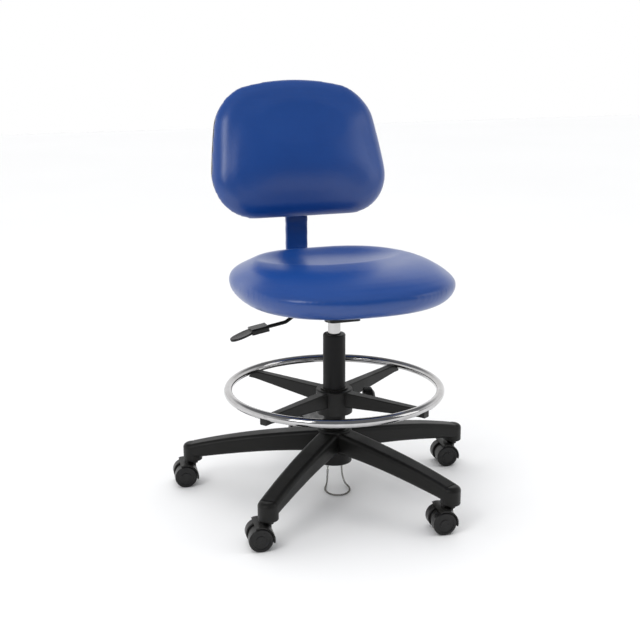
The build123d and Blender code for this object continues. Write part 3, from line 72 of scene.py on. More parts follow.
@dataclass
class Graph:
    """The node graph of one material.

    Args:
        name: name of the material.
    """

    name: str
    material: bpy.types.Material = field(init=False)

    def __post_init__(self) -> None:
        """Make the material with its bare shader."""
        self.material = bpy.data.materials.new(self.name)
        self.material.use_nodes = True
        self.tree = self.material.node_tree
        self.shader = self.tree.nodes["Principled BSDF"]
        self.coordinates = self.tree.nodes.new("ShaderNodeTexCoord")

    def place(self, scale: Point = (1.0, 1.0, 1.0)) -> bpy.types.NodeSocket:
        """Coordinates stretched by a scale.

        Args:
            scale: stretch along each axis.

        Returns:
            The socket that gives the coordinates.
        """
        mapping = self.tree.nodes.new("ShaderNodeMapping")
        mapping.inputs["Scale"].default_value = scale
        self.tree.links.new(self.coordinates.outputs["Object"], mapping.inputs["Vector"])
        return mapping.outputs["Vector"]

    def noise(
        self,
        where: bpy.types.NodeSocket,
        scale: float,
        detail: float = 3.0,
        roughness: float = 0.5,
        distortion: float = 0.0,
    ) -> bpy.types.NodeSocket:
        """Cloudy noise.

        Args:
            where: coordinates.
            scale: how many features to a metre.
            detail: number of finer layers.
            roughness: strength of the finer layers.
            distortion: how far the pattern swirls.

        Returns:
            A socket from 0 to 1.
        """
        node = self.tree.nodes.new("ShaderNodeTexNoise")
        node.inputs["Scale"].default_value = scale
        node.inputs["Detail"].default_value = detail
        node.inputs["Roughness"].default_value = roughness
        node.inputs["Distortion"].default_value = distortion
        self.tree.links.new(where, node.inputs["Vector"])
        return node.outputs[0]

    def cells(self, where: bpy.types.NodeSocket, scale: float, smooth: float = 0.6) -> bpy.types.NodeSocket:
        """Rounded cells, as in a leather or sand-blasted grain.

        Args:
            where: coordinates.
            scale: how many cells to a metre.
            smooth: how soft the valleys between cells are.

        Returns:
            The distance from each cell's middle.
        """
        node = self.tree.nodes.new("ShaderNodeTexVoronoi")
        node.feature = "SMOOTH_F1"
        node.inputs["Scale"].default_value = scale
        node.inputs["Smoothness"].default_value = smooth
        self.tree.links.new(where, node.inputs["Vector"])
        return node.outputs["Distance"]

    def bands(
        self, where: bpy.types.NodeSocket, scale: float, repeat: Bands, distortion: float = 0.0
    ) -> bpy.types.NodeSocket:
        """Parallel bands.

        Args:
            where: coordinates.
            scale: band frequency.
            repeat: the way the bands repeat.
            distortion: how much the bands waver.

        Returns:
            A socket from 0 to 1.
        """
        node = self.tree.nodes.new("ShaderNodeTexWave")
        node.bands_direction = repeat.value
        node.inputs["Scale"].default_value = scale
        node.inputs["Distortion"].default_value = distortion
        node.inputs["Detail"].default_value = 2.0
        self.tree.links.new(where, node.inputs["Vector"])
        return node.outputs[1]

    def spread(
        self, value: bpy.types.NodeSocket, low: float, high: float, start: float = 0.3, end: float = 0.7
    ) -> bpy.types.NodeSocket:
        """Stretch a value from one span onto another.

        Args:
            value: the socket to stretch.
            low: result at the start of the span.
            high: result at its end.
            start: start of the span.
            end: end of the span.

        Returns:
            The stretched socket.
        """
        node = self.tree.nodes.new("ShaderNodeMapRange")
        node.inputs["From Min"].default_value = start
        node.inputs["From Max"].default_value = end
        node.inputs["To Min"].default_value = low
        node.inputs["To Max"].default_value = high
        self.tree.links.new(value, node.inputs["Value"])
        return node.outputs["Result"]

    def sum_of(self, parts: Sequence[tuple[bpy.types.NodeSocket, float]]) -> bpy.types.NodeSocket:
        """Weighted sum of sockets.

        Args:
            parts: pairs of a socket and its weight.

        Returns:
            The sum.
        """
        total: bpy.types.NodeSocket | None = None
        for socket, weight in parts:
            node = self.tree.nodes.new("ShaderNodeMath")
            node.operation = "MULTIPLY_ADD"
            node.inputs[1].default_value = weight
            node.inputs[2].default_value = 0.0
            self.tree.links.new(socket, node.inputs[0])
            if total is not None:
                self.tree.links.new(total, node.inputs[2])
            total = node.outputs[0]
        return total

    def blend(self, share: bpy.types.NodeSocket, first: Point, second: Point) -> bpy.types.NodeSocket:
        """Mix two colours.

        Args:
            share: how much of the second colour shows.
            first: colour at 0.
            second: colour at 1.

        Returns:
            The colour socket.
        """
        node = self.tree.nodes.new("ShaderNodeMix")
        node.data_type = "RGBA"
        sockets = [s for s in node.inputs if s.type == "RGBA"]
        sockets[0].default_value = (*first, 1.0)
        sockets[1].default_value = (*second, 1.0)
        self.tree.links.new(share, node.inputs[0])
        return [s for s in node.outputs if s.type == "RGBA"][0]

    def edges(self, low: float, high: float) -> bpy.types.NodeSocket:
        """How much a point stands on an outward edge, from 0 to 1.

        Args:
            low: sharpness where wear starts.
            high: sharpness where wear is full.

        Returns:
            A socket from 0 to 1.
        """
        geometry = self.tree.nodes.new("ShaderNodeNewGeometry")
        return self.spread(geometry.outputs["Pointiness"], 0.0, 1.0, low, high)

    def colour(self, value: bpy.types.NodeSocket) -> None:
        """Drive the base colour from a socket."""
        self.tree.links.new(value, self.shader.inputs["Base Color"])

    def roughness(self, value: bpy.types.NodeSocket) -> None:
        """Drive the roughness from a socket."""
        self.tree.links.new(value, self.shader.inputs["Roughness"])

    def relief(self, height: bpy.types.NodeSocket, depth: float) -> None:
        """Raise the surface by a height pattern.

        Args:
            height: the pattern.
            depth: height of the pattern, in metres.
        """
        node = self.tree.nodes.new("ShaderNodeBump")
        node.inputs["Distance"].default_value = depth
        node.inputs["Strength"].default_value = 1.0
        self.tree.links.new(height, node.inputs["Height"])
        self.tree.links.new(node.outputs["Normal"], self.shader.inputs["Normal"])

    def fixed(self, **values: float) -> None:
        """Set fixed shader values, with underscores for the spaces in their names."""
        for name, value in values.items():
            self.shader.inputs[name.replace("_", " ")].default_value = value


@dataclass(frozen=True)
class Vinyl:
    """Upholstery vinyl: fine leather grain, soft gloss, faint creases with painted shade in their valleys."""

    name: str
    colour: Point = (0.0022, 0.058, 0.285)
    deep: Point = (0.0016, 0.045, 0.235)
    grain: float = 900.0
    grain_depth: float = 0.00009

    def material(self) -> bpy.types.Material:
        """The finished material."""
        graph = Graph(self.name)
        where = graph.place()
        grain = graph.cells(where, self.grain)
        pores = graph.noise(where, self.grain * 2.2, 2.0)
        clouds = graph.noise(where, 9.0, 4.0, 0.6)
        creases = graph.noise(graph.place(scale=(1.0, 1.0, 2.4)), 34.0, 5.0, 0.55, 0.6)
        # The colour varies at random with the clouds and the grain, and the creases darken it in the valleys of
        # their bump: painted shade.
        shade = graph.sum_of([(clouds, 0.55), (grain, 0.35), (creases, 0.15)])
        graph.colour(graph.blend(graph.spread(shade, 0.0, 1.0, 0.25, 0.75), self.deep, self.colour))
        graph.roughness(graph.spread(graph.sum_of([(clouds, 0.6), (pores, 0.4)]), 0.31, 0.42))
        graph.relief(graph.sum_of([(grain, 1.0), (pores, 0.35), (creases, 3.0)]), self.grain_depth)
        graph.fixed(Specular_IOR_Level=0.4, Coat_Weight=0.55, Coat_Roughness=0.3)
        return graph.material


@dataclass(frozen=True)
class Nylon:
    """Black glass-filled nylon: spark-eroded grain and edges rubbed slightly grey."""

    name: str
    colour: Point = (0.0075, 0.0074, 0.0068)
    worn: Point = (0.024, 0.0235, 0.022)
    grain: float = 1500.0
    grain_depth: float = 0.00006
    low: float = 0.34
    high: float = 0.5

    def material(self) -> bpy.types.Material:
        """The finished material."""
        graph = Graph(self.name)
        where = graph.place()
        grain = graph.cells(where, self.grain, 0.4)
        clouds = graph.noise(where, 14.0, 4.0, 0.6)
        scuffs = graph.noise(graph.place(scale=(1.0, 1.0, 6.0)), 60.0, 3.0, 0.7, 0.3)
        scuffed = graph.spread(scuffs, 0.0, 0.25, 0.62, 0.8)
        rub = graph.sum_of([(graph.edges(0.53, 0.62), 0.5), (scuffed, 1.0)])
        graph.colour(graph.blend(rub, self.colour, self.worn))
        graph.roughness(graph.spread(graph.sum_of([(clouds, 0.7), (grain, 0.3)]), self.low, self.high))
        graph.relief(graph.sum_of([(grain, 1.0), (clouds, 1.5)]), self.grain_depth)
        graph.fixed(Specular_IOR_Level=0.26)
        return graph.material


@dataclass(frozen=True)
class PowderCoat:
    """Black powder coat on steel: low gloss with a fine orange peel."""

    name: str
    colour: Point = (0.006, 0.006, 0.0063)
    worn: Point = (0.017, 0.017, 0.0175)
    low: float = 0.36
    high: float = 0.48
    gloss: float = 0.2

    def material(self) -> bpy.types.Material:
        """The finished material."""
        graph = Graph(self.name)
        where = graph.place()
        peel = graph.noise(where, 620.0, 2.0, 0.4)
        clouds = graph.noise(where, 18.0, 3.0)
        graph.colour(graph.blend(graph.edges(0.54, 0.64), self.colour, self.worn))
        graph.roughness(graph.spread(clouds, self.low, self.high))
        graph.relief(peel, 0.00008)
        graph.fixed(Specular_IOR_Level=self.gloss)
        return graph.material


@dataclass(frozen=True)
class Plating:
    """Plated or bare metal, from bright chrome to dull zinc."""

    name: str
    colour: Point
    stain: Point
    low: float
    high: float
    scratch: float = 0.00001

    def material(self) -> bpy.types.Material:
        """The finished material."""
        graph = Graph(self.name)
        where = graph.place()
        clouds = graph.noise(where, 22.0, 4.0, 0.65)
        fine = graph.noise(graph.place(scale=(1.0, 1.0, 9.0)), 380.0, 3.0, 0.6)
        graph.colour(graph.blend(graph.spread(clouds, 0.0, 1.0, 0.35, 0.75), self.colour, self.stain))
        graph.roughness(graph.spread(graph.sum_of([(clouds, 0.6), (fine, 0.4)]), self.low, self.high))
        graph.relief(fine, self.scratch)
        graph.fixed(Metallic=1.0)
        return graph.material


@dataclass(frozen=True)
class Rubber:
    """Dull black rubber with a dusty bloom."""

    name: str
    colour: Point = (0.012, 0.012, 0.012)
    bloom: Point = (0.03, 0.029, 0.028)

    def material(self) -> bpy.types.Material:
        """The finished material."""
        graph = Graph(self.name)
        where = graph.place()
        clouds = graph.noise(where, 45.0, 4.0, 0.6)
        graph.colour(graph.blend(clouds, self.colour, self.bloom))
        graph.roughness(graph.spread(clouds, 0.62, 0.8))
        graph.relief(graph.noise(where, 1300.0, 2.0), 0.00008)
        graph.fixed(Specular_IOR_Level=0.3)
        return graph.material


@dataclass(frozen=True)
class Tread:
    """Hard black tread of a caster wheel, with fine moulding marks and dust."""

    name: str
    colour: Point = (0.008, 0.008, 0.0083)
    dusty: Point = (0.02, 0.0195, 0.0185)

    def material(self) -> bpy.types.Material:
        """The finished material."""
        graph = Graph(self.name)
        where = graph.place()
        dust = graph.noise(where, 70.0, 4.0, 0.65)
        graph.colour(graph.blend(graph.spread(dust, 0.0, 1.0, 0.4, 0.8), self.colour, self.dusty))
        graph.roughness(graph.spread(dust, 0.24, 0.44))
        graph.relief(graph.noise(where, 900.0, 2.0), 0.00004)
        graph.fixed(Specular_IOR_Level=0.32)
        return graph.material


@dataclass(frozen=True)
class Plywood:
    """Birch plywood: pale faces with grain, and plies that show at the edge."""

    name: str
    dark: Point = (0.40, 0.26, 0.13)
    pale: Point = (0.68, 0.52, 0.33)

    def material(self) -> bpy.types.Material:
        """The finished material."""
        graph = Graph(self.name)
        where = graph.place()
        grain = graph.noise(graph.place(scale=(9.0, 0.6, 9.0)), 26.0, 6.0, 0.65, 0.8)
        plies = graph.bands(where, 210.0, Bands.UPWARD, 0.4)
        shade = graph.sum_of([(grain, 0.7), (plies, 0.35)])
        graph.colour(graph.blend(graph.spread(shade, 0.0, 1.0, 0.2, 0.8), self.dark, self.pale))
        graph.roughness(graph.spread(grain, 0.55, 0.72))
        graph.relief(shade, 0.00025)
        return graph.material


@dataclass(frozen=True)
class FeltedCloth:
    """Black spun-bonded dust cloth with its pressed dots."""

    name: str
    colour: Point = (0.008, 0.008, 0.009)
    fluff: Point = (0.035, 0.035, 0.037)

    def material(self) -> bpy.types.Material:
        """The finished material."""
        graph = Graph(self.name)
        where = graph.place()
        fibres = graph.noise(graph.place(scale=(1.0, 2.2, 1.0)), 700.0, 5.0, 0.7, 1.2)
        dots = graph.cells(where, 480.0, 0.1)
        graph.colour(graph.blend(fibres, self.colour, self.fluff))
        graph.roughness(graph.spread(fibres, 0.75, 0.92))
        graph.relief(graph.sum_of([(fibres, 0.6), (dots, 0.8)]), 0.0003)
        graph.fixed(Specular_IOR_Level=0.2, Sheen_Weight=0.15)
        return graph.material


@dataclass(frozen=True)
class Thread:
    """Twisted sewing thread, with painted shade in the grooves of its twist."""

    name: str
    colour: Point = (0.02, 0.07, 0.26)

    def material(self) -> bpy.types.Material:
        """The finished material."""
        graph = Graph(self.name)
        twist = graph.bands(graph.place(), 900.0, Bands.DIAGONAL, 0.5)
        # Painted shade: the colour drops to half in the grooves of the twist, where the bump sinks.
        dark = tuple(0.5 * c for c in self.colour)
        graph.colour(graph.blend(twist, dark, self.colour))
        graph.roughness(graph.spread(twist, 0.5, 0.7))
        graph.relief(twist, 0.0001)
        return graph.material


class Finishes:
    """Every finish of the chair, made once and shared."""

    def __init__(self) -> None:
        """Make all the materials."""
        self.vinyl = Vinyl("royal_blue_vinyl").material()
        self.nylon = Nylon("black_nylon").material()
        self.hood = Nylon("caster_hood_nylon", low=0.3, high=0.44).material()
        self.knob = Nylon("knob_nylon", low=0.22, high=0.36, grain_depth=0.00003).material()
        self.paddle = Nylon("paddle_gloss", low=0.2, high=0.32, grain_depth=0.00002).material()
        self.shell = Nylon("back_shell_grain", grain=700.0, grain_depth=0.00016).material()
        self.tube = PowderCoat("column_powder_coat", low=0.38, high=0.46, gloss=0.13).material()
        self.steel_black = PowderCoat("black_powder_coat", low=0.34, high=0.46).material()
        self.chrome = Plating(
            "bright_chrome", (0.56, 0.555, 0.56), stain=(0.46, 0.45, 0.445), low=0.05, high=0.13
        ).material()
        self.zinc = Plating(
            "zinc_plate", (0.56, 0.56, 0.55), stain=(0.42, 0.41, 0.38), low=0.26, high=0.45, scratch=0.00003
        ).material()
        self.chain = Plating(
            "chain_steel",
            (0.30, 0.285, 0.26),
            stain=(0.12, 0.11, 0.095),
            low=0.22,
            high=0.42,
            scratch=0.00002,
        ).material()
        self.rubber = Rubber("black_rubber").material()
        self.tread = Tread("wheel_tread").material()
        self.plywood = Plywood("birch_plywood").material()
        self.dust_cloth = FeltedCloth("dust_cloth_black").material()
        self.thread = Thread("blue_thread").material()
        self.by_slot = {
            "nylon": self.nylon,
            "caster_tread": self.tread,
            "black_steel": self.steel_black,
            "chrome": self.chrome,
            "steel": self.zinc,
            "rubber": self.rubber,
            "plywood": self.plywood,
            "blue_vinyl": self.vinyl,
            "dust_cloth": self.dust_cloth,
        }
        self.by_node = {
            "column_tube": self.tube,
            "ring_knob": self.knob,
            "depth_knob": self.knob,
            "back_knob": self.knob,
            "lever_paddle": self.paddle,
            "back_shell": self.shell,
            "chain_hooks": self.chain,
        }

    def dress_frame(self) -> None:
        """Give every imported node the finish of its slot, or its own where it has one."""
        for row in frame["record"]["subparts"]:
            node, slot = row["node"], row["material_slot"]
            finish = self.hood if node.endswith("_hood") else self.by_node.get(node, self.by_slot[slot])
            piece = frame["nodes"][node]
            for place in piece.material_slots:
                place.material = finish
            LOG.info("finish %s on %s", finish.name, node)


# ---------------------------------------------------------------- mesh helpers


def new_piece(
    name: str, points: Points, faces: Sequence[Sequence[int]], finish: bpy.types.Material
) -> bpy.types.Object:
    """A mesh object in the row frame, with smooth faces.

    Args:
        name: name of the piece.
        points: its points, in metres.
        faces: its faces, as indices.
        finish: its material.

    Returns:
        The new object.
    """
    mesh = bpy.data.meshes.new(name)
    mesh.from_pydata([tuple(p) for p in points], [], [tuple(f) for f in faces])
    mesh.validate()
    work = bmesh.new()
    work.from_mesh(mesh)
    bmesh.ops.recalc_face_normals(work, faces=work.faces)
    work.to_mesh(mesh)
    work.free()
    mesh.polygons.foreach_set("use_smooth", [True] * len(mesh.polygons))
    mesh.materials.append(finish)
    piece = bpy.data.objects.new(name, mesh)
    bpy.context.scene.collection.objects.link(piece)
    return piece


def tube_faces(rings: int, around: int, closed: bool = False) -> list[tuple[int, ...]]:
    """Faces of a tube of rings, each with the same number of points.

    Args:
        rings: number of rings.
        around: points in a ring.
        closed: whether the last ring meets the first.

    Returns:
        The faces, as indices.
    """
    faces: list[tuple[int, ...]] = []
    for i in range(rings if closed else rings - 1):
        j = (i + 1) % rings
        for k in range(around):
            n = (k + 1) % around
            faces.append((i * around + k, i * around + n, j * around + n, j * around + k))
    return faces


def smooth_step(value: Points, low: float, high: float) -> Points:
    """Rise smoothly from 0 at low to 1 at high."""
    t = np.clip((value - low) / (high - low), 0.0, 1.0)
    return t * t * (3.0 - 2.0 * t)


def read_points(piece: bpy.types.Object) -> Points:
    """The points of a mesh object."""
    points = np.empty(len(piece.data.vertices) * 3)
    piece.data.vertices.foreach_get("co", points)
    return points.reshape(-1, 3)


def write_points(piece: bpy.types.Object, points: Points) -> None:
    """Move the points of a mesh object."""
    piece.data.vertices.foreach_set("co", np.ascontiguousarray(points, dtype=np.float64).ravel())
    piece.data.update()


class Neighbours:
    """The mean of each mesh point's neighbours, over the mesh's edges."""

    def __init__(self, piece: bpy.types.Object) -> None:
        """Read the edges of a mesh object."""
        pairs = np.empty(len(piece.data.edges) * 2, dtype=np.int64)
        piece.data.edges.foreach_get("vertices", pairs)
        self.first, self.second = pairs.reshape(-1, 2).T
        self.size = len(piece.data.vertices)
        self.count = np.bincount(self.first, minlength=self.size)
        self.count += np.bincount(self.second, minlength=self.size)

    def mean(self, values: Points) -> Points:
        """Average each point's neighbours.

        Args:
            values: one row of three for each point.

        Returns:
            The averages, in the same rows.
        """
        total = np.zeros_like(values)
        for axis in range(3):
            total[:, axis] = np.bincount(self.first, values[self.second, axis], self.size)
            total[:, axis] += np.bincount(self.second, values[self.first, axis], self.size)
        return total / self.count[:, None]


def even_out(piece: bpy.types.Object, values: Points, rounds: int, share: float = 0.6) -> Points:
    """Average a value with its neighbours' over a mesh, so that no creases are left in it.

    Args:
        piece: the mesh object.
        values: one row for each of its points.
        rounds: how many times.
        share: how much of the neighbours' mean is taken each time.

    Returns:
        The evened values.
    """
    neighbours = Neighbours(piece)
    for _ in range(rounds):
        values = (1.0 - share) * values + share * neighbours.mean(values)
    return values


def settle(piece: bpy.types.Object, rounds: int, inward: float = 0.55, outward: float = -0.56) -> None:
    """Even out a surface without shrinking it: each point moves in, then out again.

    Args:
        piece: the mesh object.
        rounds: how many moves, in and out by turns.
        inward: share of the way to the neighbours' mean on the moves in.
        outward: the same on the moves out, below 0.
    """
    points = read_points(piece)
    neighbours = Neighbours(piece)
    for step in range(rounds):
        factor = inward if step % 2 == 0 else outward
        points += factor * (neighbours.mean(points) - points)
    write_points(piece, points)


@dataclass(frozen=True)
class Blowing:
    """How a closed cover is remeshed and blown up as cloth."""

    voxel: float = 0.0055
    pressure: float = 4.0
    cap: float = 0.005
    frames: int = 20
    quality: int = 5
    mass: float = 0.35
    stretch: float = 25.0
    shear: float = 12.0
    bending: float = 2.5
    first_rounds: int = 4
    evening_rounds: int = 60
    least_hold: float = 0.001

    def remesh(self, piece: bpy.types.Object) -> None:
        """Give the cover an even mesh."""
        bpy.context.view_layer.objects.active = piece
        for other in bpy.context.selected_objects:
            other.select_set(False)
        piece.select_set(True)
        remesh = piece.modifiers.new("remesh", "REMESH")
        remesh.mode = "VOXEL"
        remesh.voxel_size = self.voxel
        bpy.ops.object.modifier_apply(modifier=remesh.name)
        settle(piece, self.first_rounds)

    def blow(self, piece: bpy.types.Object, hold: Callable[[Points], Points]) -> None:
        """Blow the cover up, even out how its points moved, and cap how far.

        Args:
            piece: the mesh object.
            hold: gives for each point how firmly it is held, from 0 to 1.
        """
        start = read_points(piece)
        held = piece.vertex_groups.new(name="held")
        for index, weight in enumerate(hold(start)):
            if weight > self.least_hold:
                held.add([index], float(weight), "REPLACE")
        cloth = piece.modifiers.new("cloth", "CLOTH")
        settings = cloth.settings
        settings.quality = self.quality
        settings.mass = self.mass
        settings.tension_stiffness = self.stretch
        settings.compression_stiffness = self.stretch
        settings.shear_stiffness = self.shear
        settings.bending_stiffness = self.bending
        settings.use_pressure = True
        settings.uniform_pressure_force = self.pressure
        settings.effector_weights.gravity = 0.0
        settings.vertex_group_mass = held.name
        settings.pin_stiffness = 1.0
        cloth.collision_settings.use_collision = False
        cloth.point_cache.frame_start = 1
        cloth.point_cache.frame_end = self.frames
        for number in range(1, self.frames + 1):
            bpy.context.scene.frame_set(number)
        shown = piece.evaluated_get(bpy.context.evaluated_depsgraph_get())
        blown = np.empty(len(shown.data.vertices) * 3)
        shown.data.vertices.foreach_get("co", blown)
        move = even_out(piece, blown.reshape(-1, 3) - start, self.evening_rounds)
        length = np.linalg.norm(move, axis=1, keepdims=True)
        piece.modifiers.remove(cloth)
        bpy.context.scene.frame_set(1)
        write_points(piece, start + move * np.minimum(1.0, self.cap / np.maximum(length, 1e-9)))
        LOG.info("%s blown up: moved %.1f mm at most before the cap", piece.name, 1000 * float(length.max()))

    def shape(self, piece: bpy.types.Object, hold: Callable[[Points], Points]) -> None:
        """Args:
            piece: the mesh object.
            hold: gives for each point how firmly it is held, from 0 to 1.
        """
        self.remesh(piece)
        self.blow(piece, hold)
        finish_cover(piece)


def finish_cover(piece: bpy.types.Object, rounds: int = 6) -> None:
    """Smooth a cover after it is blown up, and subdivide it once."""
    settle(piece, rounds)
    piece.data.polygons.foreach_set("use_smooth", [True] * len(piece.data.polygons))
    finer = piece.modifiers.new("finer", "SUBSURF")
    finer.levels = 1
    finer.render_levels = 1


def back_slope() -> Vector:
    """Direction up the back bar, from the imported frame."""
    slide = next(j for j in frame["joints"] if j["name"] == "back_height")
    return Vector(slide["axis"]).normalized()


def squarish(turn: float, power_x: float, power_y: float) -> tuple[float, float]:
    """Point of a squarish circle of radius 1, from its two powers."""
    x = math.copysign(abs(math.cos(turn)) ** power_x, math.cos(turn))
    y = math.copysign(abs(math.sin(turn)) ** power_y, math.sin(turn))
    return x, y


def row_of_rods(
    name: str,
    places: Sequence[tuple[Vector, Vector, Vector]],
    length: float,
    radius: float,
    rise: float,
    finish: bpy.types.Material,
    around: int = 6,
    rings: int = 7,
) -> bpy.types.Object:
    """Small bowed rods in a row, as stitches or staples.

    Args:
        name: name of the piece.
        places: middle, direction and outward normal of each rod.
        length: length of a rod.
        radius: half its thickness.
        rise: how far its middle bows out.
        finish: its material.
        around: points round a rod.
        rings: points along it.

    Returns:
        The new object.
    """
    points: list[Vector] = []
    faces: list[tuple[int, ...]] = []
    for middle, along, outward in places:
        across = along.cross(outward).normalized()
        base = len(points)
        for i in range(rings):
            t = i / (rings - 1) * 2.0 - 1.0
            centre = middle + along * (t * length / 2) + outward * (rise * (1.0 - t * t) - 0.3 * radius)
            thick = radius * math.sqrt(max(0.05, 1.0 - t**6))
            for k in range(around):
                turn = 2 * math.pi * k / around
                points.append(centre + (across * math.cos(turn) + outward * math.sin(turn)) * thick)
        faces += [tuple(base + v for v in f) for f in tube_faces(rings, around)]
        faces.append(tuple(base + k for k in reversed(range(around))))
        faces.append(tuple(base + (rings - 1) * around + k for k in range(around)))
    return new_piece(name, np.array([tuple(p) for p in points]), faces, finish)


# ---------------------------------------------------------------- seat


@dataclass
class SeatCushion:
    """Moulded seat pad: a rolled rim, a dished back half and a front that falls away like a waterfall."""

    finishes: Finishes
    squareness: float = 2.45
    rim_height: float = 0.500
    crest_height: float = 0.5355
    top_edge: float = 0.078
    front_roll: float = 0.060
    low_edge: float = 0.050
    dish_middle: tuple[float, float] = (0.0, 0.036)
    dish_half: tuple[float, float] = (0.168, 0.108)
    dish_depth: float = 0.017
    fall_start: float = -0.075
    fall_length: float = 0.17
    fall_depth: float = 0.007
    inset: float = -0.0015
    foot_gap: float = 0.002
    hold_height: float = 0.02
    around: int = 160
    rim_rings: int = 29
    top_rings: int = 34

    def outline(self, margin: float | Points) -> Points:
        """Outline of the seat in plan, drawn in by a margin.

        Args:
            margin: how far to draw it in, in metres, the same all round or for each point.

        Returns:
            Points of two columns.
        """
        low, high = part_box("seat_cushion")
        middle = (low + high) / 2
        half_x, half_y = (high.x - low.x) / 2 - margin, (high.y - low.y) / 2 - margin
        turn = np.linspace(0.0, 2 * math.pi, self.around, endpoint=False)
        power = 2.0 / self.squareness
        x = np.sign(np.cos(turn)) * np.abs(np.cos(turn)) ** power * half_x
        y = np.sign(np.sin(turn)) * np.abs(np.sin(turn)) ** power * half_y
        return np.stack([middle.x + x, middle.y + y], axis=1)

    def roll(self) -> Points:
        """How far in the top edge's roll reaches at each point of the outline, longest in front."""
        turn = np.linspace(0.0, 2 * math.pi, self.around, endpoint=False)
        return self.top_edge + self.front_roll * smooth_step(-np.sin(turn), -0.1, 1.0)

    def top(self, plan: Points, height: Points) -> Points:
        """Shape the upper surface: the dish and the falling front.

        Args:
            plan: points in plan.
            height: their heights on the plain pad.

        Returns:
            The shaped heights.
        """
        share = smooth_step(height, self.rim_height, self.crest_height)
        reach = np.linalg.norm((plan - self.dish_middle) / self.dish_half, axis=1)
        dish = self.dish_depth * np.clip(1.0 - np.minimum(reach, 1.0) ** 2.6, 0.0, 1.0) ** 1.15
        fall = np.clip((self.fall_start - plan[:, 1]) / self.fall_length, 0.0, 1.3) ** 1.7 * self.fall_depth
        return height - share * (dish + fall)

    def build(self) -> bpy.types.Object:
        """Make, blow up and dress the cushion.

        Returns:
            The cushion.
        """
        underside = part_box("seat_cushion")[0].z + self.foot_gap
        rings: list[Points] = []
        flat = self.outline(self.low_edge)
        centre = flat.mean(axis=0)
        for shrink in (0.02, 0.25, 0.5, 0.75, 0.92):
            plan = centre + (flat - centre) * shrink
            rings.append(np.column_stack([plan, np.full(self.around, underside)]))
        for level in np.sin(np.linspace(-math.pi / 2, math.pi / 2, self.rim_rings)):
            edge = self.roll() if level > 0 else self.low_edge
            reach = self.crest_height - self.rim_height if level > 0 else self.rim_height - underside
            plan = self.outline(edge * (1.0 - math.sqrt(max(0.0, 1.0 - level * level))) + self.inset)
            height = np.full(self.around, self.rim_height + level * reach)
            rings.append(np.column_stack([plan, self.top(plan, height)]))
        flat = self.outline(self.roll() + self.inset)
        centre = flat.mean(axis=0)
        crest = np.full(self.around, self.crest_height)
        for shrink in np.linspace(0.97, 0.01, self.top_rings):
            plan = centre + (flat - centre) * shrink
            rings.append(np.column_stack([plan, self.top(plan, crest)]))
        faces = tube_faces(len(rings), self.around)
        faces.append(tuple(reversed(range(self.around))))
        faces.append(tuple((len(rings) - 1) * self.around + k for k in range(self.around)))
        cushion = new_piece("seat_pad_cover", np.concatenate(rings), faces, self.finishes.vinyl)

        def hold(where: Points) -> Points:
            """Held firmly at the underside and free above it."""
            return 1.0 - smooth_step(where[:, 2], underside + self.foot_gap, underside + self.hold_height)

        Blowing().shape(cushion, hold)
        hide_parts("seat_cushion")
        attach(cushion, "lift")
        return cushion


